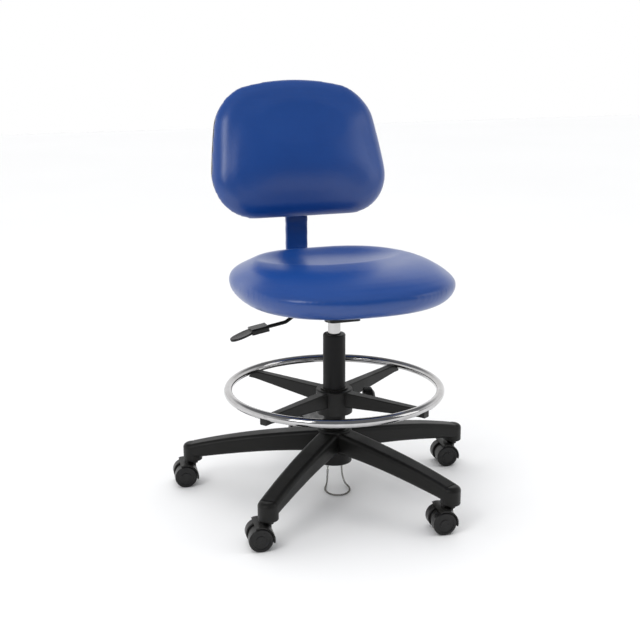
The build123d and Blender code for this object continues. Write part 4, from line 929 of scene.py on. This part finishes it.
@dataclass
class SeatUnderside:
    """Dust cover stretched over the underside of the seat, and the staples that hold it."""

    finishes: Finishes
    squareness: float = 2.45
    thickness: float = 0.0008
    edge_gap: float = 0.0005
    hole_gap: float = 0.0006
    sag: float = 0.0014
    ripple: float = 0.00025
    pull: float = 0.0005
    pull_reach: float = 0.12
    staple_inset: float = 0.006
    staple_length: float = 0.010
    staple_wire: float = 0.0005
    staples: int = 44
    around: int = 176
    rings: int = 22

    def outline(self, turn: float, half_x: float, half_y: float, middle: Vector) -> Vector:
        """Point of a squarish ellipse at an angle."""
        x, y = squarish(turn, 2.0 / self.squareness, 2.0 / self.squareness)
        return Vector((middle.x + x * half_x, middle.y + y * half_y, middle.z))

    def opening(self, turn: float, half_x: float, half_y: float, middle: Vector) -> Vector:
        """Point of the cut-out for the mounting plate, seen at an angle from its middle."""
        x, y = math.cos(turn), math.sin(turn)
        reach = min(half_x / max(abs(x), 1e-6), half_y / max(abs(y), 1e-6))
        return Vector((middle.x + x * reach, middle.y + y * reach, middle.z))

    def build(self) -> list[bpy.types.Object]:
        """Make the cover and its staples.

        Returns:
            The cover and the staples.
        """
        low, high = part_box("seat_dust_cover")
        level = high.z - 0.0001
        middle = Vector(((low.x + high.x) / 2, (low.y + high.y) / 2, level))
        half_x, half_y = (high.x - low.x) / 2 - self.edge_gap, (high.y - low.y) / 2 - self.edge_gap
        return [self.cover(middle, half_x, half_y), self.staple_row(middle, half_x, half_y)]

    def cover(self, middle: Vector, half_x: float, half_y: float) -> bpy.types.Object:
        """Make and dress the cover.

        Args:
            middle: middle of its upper face.
            half_x: half its width.
            half_y: half its depth.

        Returns:
            The cover.
        """
        plate_low, plate_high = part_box("seat_plate")
        hole = Vector(((plate_low.x + plate_high.x) / 2, (plate_low.y + plate_high.y) / 2, middle.z))
        hole_x = (plate_high.x - plate_low.x) / 2 + self.hole_gap
        hole_y = (plate_high.y - plate_low.y) / 2 + self.hole_gap
        turns = [2 * math.pi * step / self.around for step in range(self.around)]
        upper: list[Vector] = []
        for ring in range(self.rings):
            share = ring / (self.rings - 1)
            slack = math.sin(math.pi * share)
            for turn in turns:
                inner = self.opening(turn, hole_x, hole_y, hole)
                point = inner.lerp(self.outline(turn, half_x, half_y, middle), share)
                tucks = 0.5 * (1.0 - math.cos(self.staples * turn)) * share
                tucks *= math.exp(-(1.0 - share) / self.pull_reach)
                point.z -= self.sag * slack + self.pull * tucks * min(1.0, 6.0 * (1.0 - share))
                point.z -= self.ripple * slack * (1.0 + math.sin(9.0 * turn + 3.0 * share))
                upper.append(point)
        lower = [p - Vector((0, 0, self.thickness)) for p in upper]
        count = len(upper)
        faces = tube_faces(self.rings, self.around)
        faces += [tuple(count + v for v in reversed(f)) for f in faces]
        last = (self.rings - 1) * self.around
        for step in range(self.around):
            following = (step + 1) % self.around
            faces.append((step, count + step, count + following, following))
            faces.append((last + following, count + last + following, count + last + step, last + step))
        points = np.array([tuple(p) for p in upper + lower])
        cover = new_piece("seat_dust_cloth", points, faces, self.finishes.dust_cloth)
        # points of the outline round the cover's edge, which nothing reads; the cover's area is that of the
        # outline less the opening for the mounting plate
        edge = [self.outline(turn, half_x, half_y, middle) for turn in turns]
        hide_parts("seat_dust_cover")
        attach(cover, "lift")
        return cover

    def staple_row(self, middle: Vector, half_x: float, half_y: float) -> bpy.types.Object:
        """Make and dress the staples round the cover's edge.

        Args:
            middle: middle of the cover's upper face.
            half_x: half its width.
            half_y: half its depth.

        Returns:
            The staples, as one piece.
        """
        half_x, half_y = half_x - self.staple_inset, half_y - self.staple_inset
        places: list[tuple[Vector, Vector, Vector]] = []
        for number in range(self.staples):
            turn = 2 * math.pi * (number + 0.5) / self.staples
            here = self.outline(turn, half_x, half_y, middle)
            along = (self.outline(turn + 0.01, half_x, half_y, middle) - here).normalized()
            here.z -= self.thickness + 0.0003
            places.append((here, along, Vector((0, 0, -1))))
        staples = row_of_rods(
            "dust_cover_staples", places, self.staple_length, self.staple_wire, 0.0003, self.finishes.zinc
        )
        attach(staples, "lift")
        return staples


# ---------------------------------------------------------------- back


@dataclass
class BackCushion:
    """Moulded back pad: a rounded trapezoid with a crowned front and a lumbar swell."""

    finishes: Finishes
    half_height: float = 0.157
    low_half: float = 0.215
    top_half: float = 0.178
    low_corner: float = 0.102
    top_corner: float = 0.115
    top_bow: float = 0.034
    side_bow: float = 0.007
    low_bow: float = 0.001
    seam: float = -0.0115
    front_edge: float = 0.017
    crown: float = 0.013
    crown_reach: float = 0.12
    swell: float = 0.017
    swell_place: float = -0.045
    swell_half: tuple[float, float] = (0.19, 0.085)
    wrap: float = 0.006
    roll: float = 0.026
    middle_depth: float = 0.006
    even_margin: float = 0.05
    inset: float = -0.0015

    def __post_init__(self) -> None:
        """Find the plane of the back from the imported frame."""
        self.up = back_slope()
        self.normal = Vector((0.0, -self.up.z, self.up.y))
        low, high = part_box("back_cushion")
        self.origin = (low + high) / 2 - self.normal * self.middle_depth

    def place(self, across: float, up: float, out: float) -> Vector:
        """A point in the back's own plane, and out from it, in the row frame."""
        return self.origin + Vector((across, 0.0, 0.0)) + self.up * up + self.normal * out

    def outline(self, margin: float, corner_points: int = 24, edge_points: int = 16) -> Points:
        """Outline of the back in its own plane, drawn in by a margin.

        Args:
            margin: how far to draw it in, in metres.
            corner_points: points round each corner.
            edge_points: points along each edge.

        Returns:
            Points of two columns.
        """
        low_x, top_x = self.low_half - margin, self.top_half - margin
        low_y = -self.half_height + margin + self.low_bow
        top_y = self.half_height - margin - self.top_bow
        corners = [Vector(p) for p in ((-low_x, low_y), (low_x, low_y), (top_x, top_y), (-top_x, top_y))]
        bows = (self.low_bow, self.side_bow, self.top_bow, self.side_bow)
        rounding = (self.low_corner, self.low_corner, self.top_corner, self.top_corner)
        radii = [max(radius - margin, 0.006) for radius in rounding]
        edges = [(corners[i], corners[(i + 1) % 4], bows[i]) for i in range(4)]

        def on_edge(index: int, share: float) -> Vector:
            """Point on a bowed edge."""
            start, end, bow = edges[index]
            along = end - start
            outward = Vector((along.y, -along.x)).normalized()
            return start + along * share + outward * (4.0 * bow * share * (1.0 - share))

        cuts: list[float] = []
        for index in range(4):
            before = on_edge(index - 1, 1.0) - on_edge(index - 1, 0.99)
            after = on_edge(index, 0.01) - on_edge(index, 0.0)
            corner = math.pi - before.angle(after)
            cuts.append(radii[index] / math.tan(corner / 2))
        ring: list[Vector] = []
        for index in range(4):
            length = (edges[index][1] - edges[index][0]).length
            first, last = cuts[index] / length, 1.0 - cuts[(index + 1) % 4] / length
            ring += [on_edge(index, first + (last - first) * i / edge_points) for i in range(edge_points)]
            following = (index + 1) % 4
            reach = cuts[following] / (edges[following][1] - edges[following][0]).length
            start, end = on_edge(index, last), on_edge(following, reach)
            out = (start - on_edge(index, last - 0.01)).normalized()
            back = (end - on_edge(following, reach + 0.01)).normalized()
            pull = 0.56 * cuts[following]
            for i in range(corner_points):
                s = i / corner_points
                weights = ((1 - s) ** 3, 3 * (1 - s) ** 2 * s, 3 * (1 - s) * s * s, s**3)
                handles = (start, start + out * pull, end + back * pull, end)
                ring.append(sum((w * h for w, h in zip(weights, handles)), Vector((0.0, 0.0))))
        return np.array([(p.x, p.y) for p in ring])

    def front(self, plan: Points, margin: float) -> Points:
        """How far the front stands out at points of the plane.

        Args:
            plan: points of the plane.
            margin: how far in from the outline they are.

        Returns:
            Distance out of the plane for each.
        """
        x, y = plan[:, 0], plan[:, 1]
        rise = math.sin(min(1.0, margin / self.crown_reach) * math.pi / 2)
        across = np.exp(-((x / self.swell_half[0]) ** 4))
        upward = np.exp(-(((y - self.swell_place) / self.swell_half[1]) ** 2))
        wrap = self.wrap * smooth_step(np.abs(x), 0.08, 0.2)
        return self.front_edge + self.crown * rise**0.9 + (self.swell * upward * across + wrap) * rise

    def build(self) -> bpy.types.Object:
        """Make, blow up and dress the cushion.

        Returns:
            The cushion.
        """
        rings: list[list[Vector]] = []
        for margin in (0.15, 0.09, 0.04, 0.008):
            rings.append([self.place(x, y, self.seam) for x, y in self.scaled(margin)])
        for turn in np.linspace(0.0, math.pi / 2, 13):
            margin = self.inset + self.roll * (1.0 - math.cos(turn))
            plan = self.scaled(margin)
            top = self.front(plan, margin)
            out = self.seam + 0.003 + (top - self.seam - 0.003) * math.sin(turn) ** 0.85
            rings.append([self.place(x, y, o) for (x, y), o in zip(plan, out)])
        for margin in np.linspace(self.roll + 0.006, 0.152, 26):
            plan = self.scaled(float(margin))
            out = self.front(plan, float(margin))
            rings.append([self.place(x, y, o) for (x, y), o in zip(plan, out)])
        around = len(rings[0])
        faces = tube_faces(len(rings), around)
        faces.append(tuple(reversed(range(around))))
        faces.append(tuple((len(rings) - 1) * around + k for k in range(around)))
        points = np.array([tuple(p) for ring in rings for p in ring])
        cushion = new_piece("back_pad_cover", points, faces, self.finishes.vinyl)
        normal, origin, seam = np.array(self.normal), np.array(self.origin), self.seam

        def hold(where: Points) -> Points:
            """Held firmly at the rear seam and free on the front."""
            return 1.0 - smooth_step((where - origin) @ normal, seam + 0.003, seam + 0.014)

        Blowing().shape(cushion, hold)
        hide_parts("back_cushion")
        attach(cushion, "backrest")
        return cushion

    def scaled(self, margin: float) -> Points:
        """The outline, drawn in evenly near the edge and by scale further in."""
        if margin <= self.even_margin:
            return self.outline(margin)
        share = max(0.012, 1.0 - (margin - self.even_margin) / (self.half_height - self.even_margin))
        return self.outline(self.even_margin) * share


# ---------------------------------------------------------------- bar sleeve


@dataclass
class BarSleeve:
    """Vinyl sleeve on the back bar: soft corners, slack folds where it bends, and a sewn seam behind."""

    finishes: Finishes
    kink_height: float = 0.600
    kink_reach: float = 0.03
    bend_radius: float = 0.060
    half_thickness: float = 0.0073
    skin: float = 0.0006
    hem: float = 0.0010
    fold: float = 0.0006
    tuck: float = 0.0012
    pull: float = 0.0009
    corner_x: float = 0.22
    corner_y: float = 0.5
    seam_side: float = 0.0032
    stitch_length: float = 0.0026
    stitch_radius: float = 0.00045
    rings: int = 110
    around: int = 56

    def __post_init__(self) -> None:
        """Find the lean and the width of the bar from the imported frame."""
        up = back_slope()
        self.lean = math.atan2(up.y, up.z)
        self.low, self.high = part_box("bar_sleeve")
        self.half_width = (self.high.x - self.low.x) / 2

    def middle_line(self) -> list[tuple[Vector, Vector]]:
        """Points and directions up the middle of the sleeve.

        Returns:
            Pairs of a point and the direction of the sleeve there.
        """
        back = self.low.y + self.half_thickness
        top_z = self.high.z - self.half_thickness * math.sin(self.lean)
        reach = self.bend_radius * math.tan(self.lean / 2)
        straight = self.kink_height - reach - self.low.z
        bend = self.bend_radius * self.lean
        total = straight + bend + (top_z - self.kink_height) / math.cos(self.lean) - reach
        line: list[tuple[Vector, Vector]] = []
        for i in range(self.rings):
            s = total * i / (self.rings - 1)
            if s <= straight:
                line.append((Vector((0, back, self.low.z + s)), Vector((0, 0, 1))))
                continue
            turn = min((s - straight) / self.bend_radius, self.lean)
            centre = Vector((0, back + self.bend_radius, self.kink_height - reach))
            point = centre + Vector((0, -math.cos(turn), math.sin(turn))) * self.bend_radius
            along = Vector((0, math.sin(turn), math.cos(turn)))
            point += along * max(0.0, s - straight - bend)
            line.append((point, along))
        return line

    def ring(self, centre: Vector, along: Vector, share: float) -> list[Vector]:
        """Points round the sleeve's outside, with its folds and the tuck of its seam.

        Args:
            centre: middle of the ring.
            along: direction of the sleeve there.
            share: how far up the sleeve it is, from 0 to 1.

        Returns:
            The ring's points.
        """
        rear = Vector((0, along.z, -along.y))
        kink = math.exp(-(((centre.z - self.kink_height) / self.kink_reach) ** 2))
        pull = self.pull * (math.exp(-share / 0.012) + math.exp(-(1 - share) / 0.012))
        points: list[Vector] = []
        for k in range(self.around):
            turn = 2 * math.pi * k / self.around
            x, y = squarish(turn, self.corner_x, self.corner_y)
            slack = self.fold * (0.35 + kink) * math.sin(34.0 * share + 1.7 * math.sin(turn * 2.0) + 0.8 * x)
            slack += self.fold * 0.7 * math.sin(61.0 * share + 2.3 * x) * kink
            tuck = self.tuck * math.exp(-((x / 0.07) ** 2)) if y > 0 else 0.0
            wide = self.half_width - self.skin + 0.5 * slack - pull
            deep = self.half_thickness - self.skin - tuck - pull + slack
            points.append(centre + Vector((x * wide, 0, 0)) + rear * (y * deep))
        return points

    def end(self, centre: Vector, along: Vector) -> list[Vector]:
        """Points round the inside of a hem at one end of the sleeve."""
        rear = Vector((0, along.z, -along.y))
        wide = self.half_width - self.skin - self.hem
        deep = self.half_thickness - self.skin - 2 * self.hem
        corners = [
            squarish(2 * math.pi * k / self.around, self.corner_x, self.corner_y) for k in range(self.around)
        ]
        return [centre + Vector((x * wide, 0, 0)) + rear * (y * deep) for x, y in corners]

    def build(self) -> list[bpy.types.Object]:
        """Make the sleeve and its seam.

        Returns:
            The sleeve and the stitches.
        """
        line = self.middle_line()
        points: list[Vector] = []
        seam: list[tuple[Vector, Vector, Vector]] = []
        for i, (centre, along) in enumerate(line):
            points += self.ring(centre, along, i / (len(line) - 1))
            if i % 2 == 0 and 2 < i < len(line) - 2:
                rear = Vector((0, along.z, -along.y))
                out = self.half_thickness - self.skin - self.hem
                seam.append((centre + rear * out + Vector((self.seam_side, 0, 0)), along, rear))
        around, inner, last = self.around, len(points), (len(line) - 1) * self.around
        faces = tube_faces(len(line), around)
        points += self.end(*line[0]) + self.end(*line[-1])
        for k in range(around):
            n = (k + 1) % around
            faces.append((k, inner + k, inner + n, n))
            faces.append((last + n, inner + around + n, inner + around + k, last + k))
        faces.append(tuple(inner + k for k in range(around)))
        faces.append(tuple(inner + around + k for k in reversed(range(around))))
        places = np.array([tuple(p) for p in points])
        sleeve = new_piece("bar_sleeve_cover", places, faces, self.finishes.vinyl)
        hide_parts("bar_sleeve")
        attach(sleeve, "back_bar")
        stitches = row_of_rods(
            "bar_sleeve_stitches", seam, self.stitch_length, self.stitch_radius, 0.0003, self.finishes.thread
        )
        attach(stitches, "back_bar")
        return [sleeve, stitches]


# ---------------------------------------------------------------- drag chain


@dataclass
class DragChain:
    """Steel drag chain: oval links, each a quarter turn from the last, from hook to floor to hook."""

    finishes: Finishes
    route: tuple[Point, ...] = (
        (-0.004, 0.033, 0.0514),
        (-0.004, 0.033, 0.032),
        (-0.007, 0.028, 0.013),
        (-0.013, 0.016, 0.0026),
        (-0.022, 0.002, 0.0026),
        (-0.027, -0.013, 0.0026),
        (-0.026, -0.030, 0.0026),
        (-0.018, -0.044, 0.0026),
        (-0.004, -0.051, 0.0026),
        (0.011, -0.048, 0.0026),
        (0.023, -0.037, 0.0026),
        (0.030, -0.023, 0.0026),
        (0.032, -0.007, 0.0026),
        (0.029, 0.006, 0.0046),
        (0.027, 0.016, 0.015),
        (0.026, 0.022, 0.032),
        (0.026, 0.022, 0.0514),
    )
    width: float = 0.005
    wire: float = 0.0016
    link_length: float = 0.0085
    link_turns: tuple[float, float] = (20.0, 110.0)
    corner: float = 0.8
    floor_gap: float = 0.0001
    around: int = 20
    section: int = 7

    def line(self) -> list[Vector]:
        """Points along the chain's own smooth curve.

        Returns:
            The points, in the row frame.
        """
        curve = bpy.data.curves.new("drag_chain_line", "CURVE")
        curve.dimensions = "3D"
        spline = curve.splines.new("NURBS")
        spline.points.add(len(self.route) - 1)
        for point, place in zip(spline.points, self.route):
            point.co = (*place, 1.0)
        spline.order_u = 3
        spline.use_endpoint_u = True
        curve.resolution_u = 24
        bare = bpy.data.objects.new("drag_chain_line", curve)
        mesh = bpy.data.meshes.new_from_object(bare)
        points = [v.co.copy() for v in mesh.vertices]
        bpy.data.meshes.remove(mesh)
        bpy.data.objects.remove(bare)
        bpy.data.curves.remove(curve)
        return points

    def link(self, centre: Vector, forward: Vector, turn: float) -> list[Vector]:
        """Points of one oval link.

        Args:
            centre: middle of the link.
            forward: direction of the chain there.
            turn: how far the link is turned about that direction, in degrees.

        Returns:
            The points, ring by ring round the oval.
        """
        side = forward.cross(Vector((0, 0, 1)))
        side = side.normalized() if side.length > 0.2 else forward.cross(Vector((1, 0, 0))).normalized()
        side = Matrix.Rotation(math.radians(turn), 3, forward) @ side
        up = forward.cross(side)
        half_long, half_wide = (self.link_length - self.wire) / 2, (self.width - self.wire) / 2
        points: list[Vector] = []
        for i in range(self.around):
            x, y = squarish(2 * math.pi * i / self.around, self.corner, self.corner)
            x, y = x * half_long, y * half_wide
            outward = Vector((x / half_long**2, y / half_wide**2)).normalized()
            out = forward * outward.x + side * outward.y
            for k in range(self.section):
                b = 2 * math.pi * k / self.section
                wire = (out * math.cos(b) + up * math.sin(b)) * self.wire / 2
                points.append(centre + forward * x + side * y + wire)
        return points

    def build(self) -> bpy.types.Object:
        """Make and dress the chain.

        Returns:
            The chain.
        """
        line = self.line()
        along = [0.0]
        for a, b in zip(line, line[1:]):
            along.append(along[-1] + (b - a).length)
        total = along[-1]
        inner = self.link_length - 2 * self.wire
        count = max(2, round((total - self.link_length) / inner) + 1)
        pitch = (total - self.link_length) / (count - 1)
        steps = np.array([tuple(p) for p in line])

        def at(distance: float) -> Vector:
            """Point at a distance along the line."""
            return Vector([float(np.interp(distance, along, steps[:, axis])) for axis in range(3)])

        points: list[Vector] = []
        faces: list[tuple[int, ...]] = []
        for number in range(count):
            middle = self.link_length / 2 + number * pitch
            start, end = at(middle - self.link_length / 2), at(middle + self.link_length / 2)
            centre = (start + end) / 4 + at(middle) / 2
            base = len(points)
            points += self.link(centre, (end - start).normalized(), self.link_turns[number % 2])
            faces += [tuple(base + v for v in f) for f in tube_faces(self.around, self.section, closed=True)]
        lift = max(0.0, self.floor_gap - min(p.z for p in points))
        places = np.array([(p.x, p.y, p.z + lift) for p in points])
        chain = new_piece("drag_chain_links", places, faces, self.finishes.chain)
        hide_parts("drag_chain")
        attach(chain, "base")
        LOG.info("drag chain %.1f mm, %d links", 1000 * total, count)
        return chain


# ---------------------------------------------------------------- room


@dataclass
class Studio:
    """Camera, pale floor and soft lights."""

    aim: Point = (0.0, 0.0, 0.300)
    azimuth: float = -20.0
    elevation: float = 16.75
    distance: float = 2.5376
    lens: float = 64.07
    sensor: float = 36.0
    shift: tuple[float, float] = (-0.0222, 0.0672)
    room: Point = (0.2, 0.204, 0.212)
    backdrop: Point = (1.0, 1.0, 1.0)
    backdrop_top: float = 0.34
    key_place: Point = (-2.2, -1.5, 2.2)
    key_power: float = 26.0
    fill_place: Point = (2.6, -1.4, 1.6)
    fill_power: float = 11.0
    ceiling_power: float = 2.5
    ceiling_spread: float = 100.0
    ceiling_tilt: float = -14.0

    def camera(self) -> None:
        """Set up the camera."""
        turn, rise = math.radians(self.azimuth), math.radians(self.elevation)
        back = Vector((math.sin(turn) * math.cos(rise), -math.cos(turn) * math.cos(rise), math.sin(rise)))
        data = bpy.data.cameras.new("camera")
        data.lens = self.lens
        data.sensor_width = self.sensor
        data.shift_x, data.shift_y = self.shift
        data.clip_start, data.clip_end = 0.05, 60.0
        camera = bpy.data.objects.new("camera", data)
        camera.location = Vector(self.aim) + back * self.distance
        camera.rotation_mode = "QUATERNION"
        camera.rotation_quaternion = (-back).to_track_quat("-Z", "Y")
        bpy.context.scene.collection.objects.link(camera)
        bpy.context.scene.camera = camera

    def floor(self, half: float = 9.0) -> None:
        """Lay the pale floor."""
        graph = Graph("pale_floor")
        where = graph.place()
        graph.colour(graph.blend(graph.noise(where, 0.8, 2.0), (0.90, 0.90, 0.90), (0.93, 0.93, 0.93)))
        graph.fixed(Roughness=0.75, Specular_IOR_Level=0.2)
        graph.relief(graph.noise(where, 300.0, 2.0), 0.00005)
        points = np.array([(-half, -half, 0.0), (half, -half, 0.0), (half, half, 0.0), (-half, half, 0.0)])
        new_piece("floor", points, [(0, 1, 2, 3)], graph.material)

    def light(self, name: str, place: Point, aim: Point, size: tuple[float, float], power: float) -> None:
        """Hang one soft box.

        Args:
            name: name of the light.
            place: where it hangs.
            aim: the point that it faces.
            size: width and height.
            power: power in watts.
        """
        data = bpy.data.lights.new(name, "AREA")
        data.shape = "RECTANGLE"
        data.size, data.size_y = size
        data.energy = power
        lamp = bpy.data.objects.new(name, data)
        lamp.location = place
        lamp.rotation_mode = "QUATERNION"
        lamp.rotation_quaternion = (Vector(aim) - Vector(place)).to_track_quat("-Z", "Y")
        bpy.context.scene.collection.objects.link(lamp)

    def ramp(
        self, source: bpy.types.NodeSocket, limits: tuple[float, float], ends: tuple[float, float]
    ) -> bpy.types.NodeSocket:
        """Smooth ramp between two limits.

        Args:
            source: the socket to read.
            limits: where the ramp starts and ends.
            ends: its values there.

        Returns:
            The ramp's socket.
        """
        node = source.id_data.nodes.new("ShaderNodeMapRange")
        node.interpolation_type = "SMOOTHSTEP"
        node.inputs["From Min"].default_value, node.inputs["From Max"].default_value = limits
        node.inputs["To Min"].default_value, node.inputs["To Max"].default_value = ends
        source.id_data.links.new(source, node.inputs["Value"])
        return node.outputs["Result"]

    def air(self) -> None:
        """A white backdrop behind the chair, low down, and a dim room in front and above."""
        world = bpy.data.worlds.new("studio_air")
        bpy.context.scene.world = world
        world.use_nodes = True
        tree = world.node_tree
        background = tree.nodes["Background"]
        background.inputs["Strength"].default_value = 1.0
        place = tree.nodes.new("ShaderNodeTexCoord")
        parts = tree.nodes.new("ShaderNodeSeparateXYZ")
        tree.links.new(place.outputs["Generated"], parts.inputs[0])
        both = tree.nodes.new("ShaderNodeMath")
        both.operation = "MULTIPLY"
        tree.links.new(self.ramp(parts.outputs["Y"], (-0.55, 0.25), (0.0, 1.0)), both.inputs[0])
        above = self.ramp(parts.outputs["Z"], (self.backdrop_top, self.backdrop_top + 0.3), (1.0, 0.0))
        tree.links.new(above, both.inputs[1])
        shade = tree.nodes.new("ShaderNodeMix")
        shade.data_type = "RGBA"
        colours = [s for s in shade.inputs if s.type == "RGBA"]
        colours[0].default_value = (*self.room, 1.0)
        colours[1].default_value = (*self.backdrop, 1.0)
        tree.links.new(both.outputs[0], shade.inputs[0])
        tree.links.new([s for s in shade.outputs if s.type == "RGBA"][0], background.inputs["Color"])

    def ceiling(self) -> None:
        """Light from the whole ceiling, kept out of the reflections."""
        data = bpy.data.lights.new("ceiling", "SUN")
        data.energy = self.ceiling_power
        data.angle = math.radians(self.ceiling_spread)
        lamp = bpy.data.objects.new("ceiling", data)
        lamp.rotation_euler = (math.radians(self.ceiling_tilt), 0.0, 0.0)
        lamp.visible_glossy = False
        bpy.context.scene.collection.objects.link(lamp)

    def build(self) -> None:
        """Set up the whole room."""
        self.camera()
        self.floor()
        self.air()
        self.light("key", self.key_place, (0, 0, 0.45), (1.1, 1.4), self.key_power)
        self.light("fill", self.fill_place, (0, 0, 0.4), (1.2, 2.0), self.fill_power)
        self.ceiling()
        bpy.context.scene.view_settings.view_transform = "Standard"


def main() -> None:
    """Build the room and every piece."""
    logging.basicConfig(level=logging.INFO, format="%(name)s: %(message)s")
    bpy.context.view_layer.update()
    Studio().build()
    finishes = Finishes()
    DragChain(finishes).build()
    finishes.dress_frame()
    pieces = [SeatCushion(finishes).build(), BackCushion(finishes).build()]
    pieces += SeatUnderside(finishes).build() + BarSleeve(finishes).build()
    for piece in pieces:
        LOG.info("built %s", piece.name)


if __name__ == "__main__":
    main()
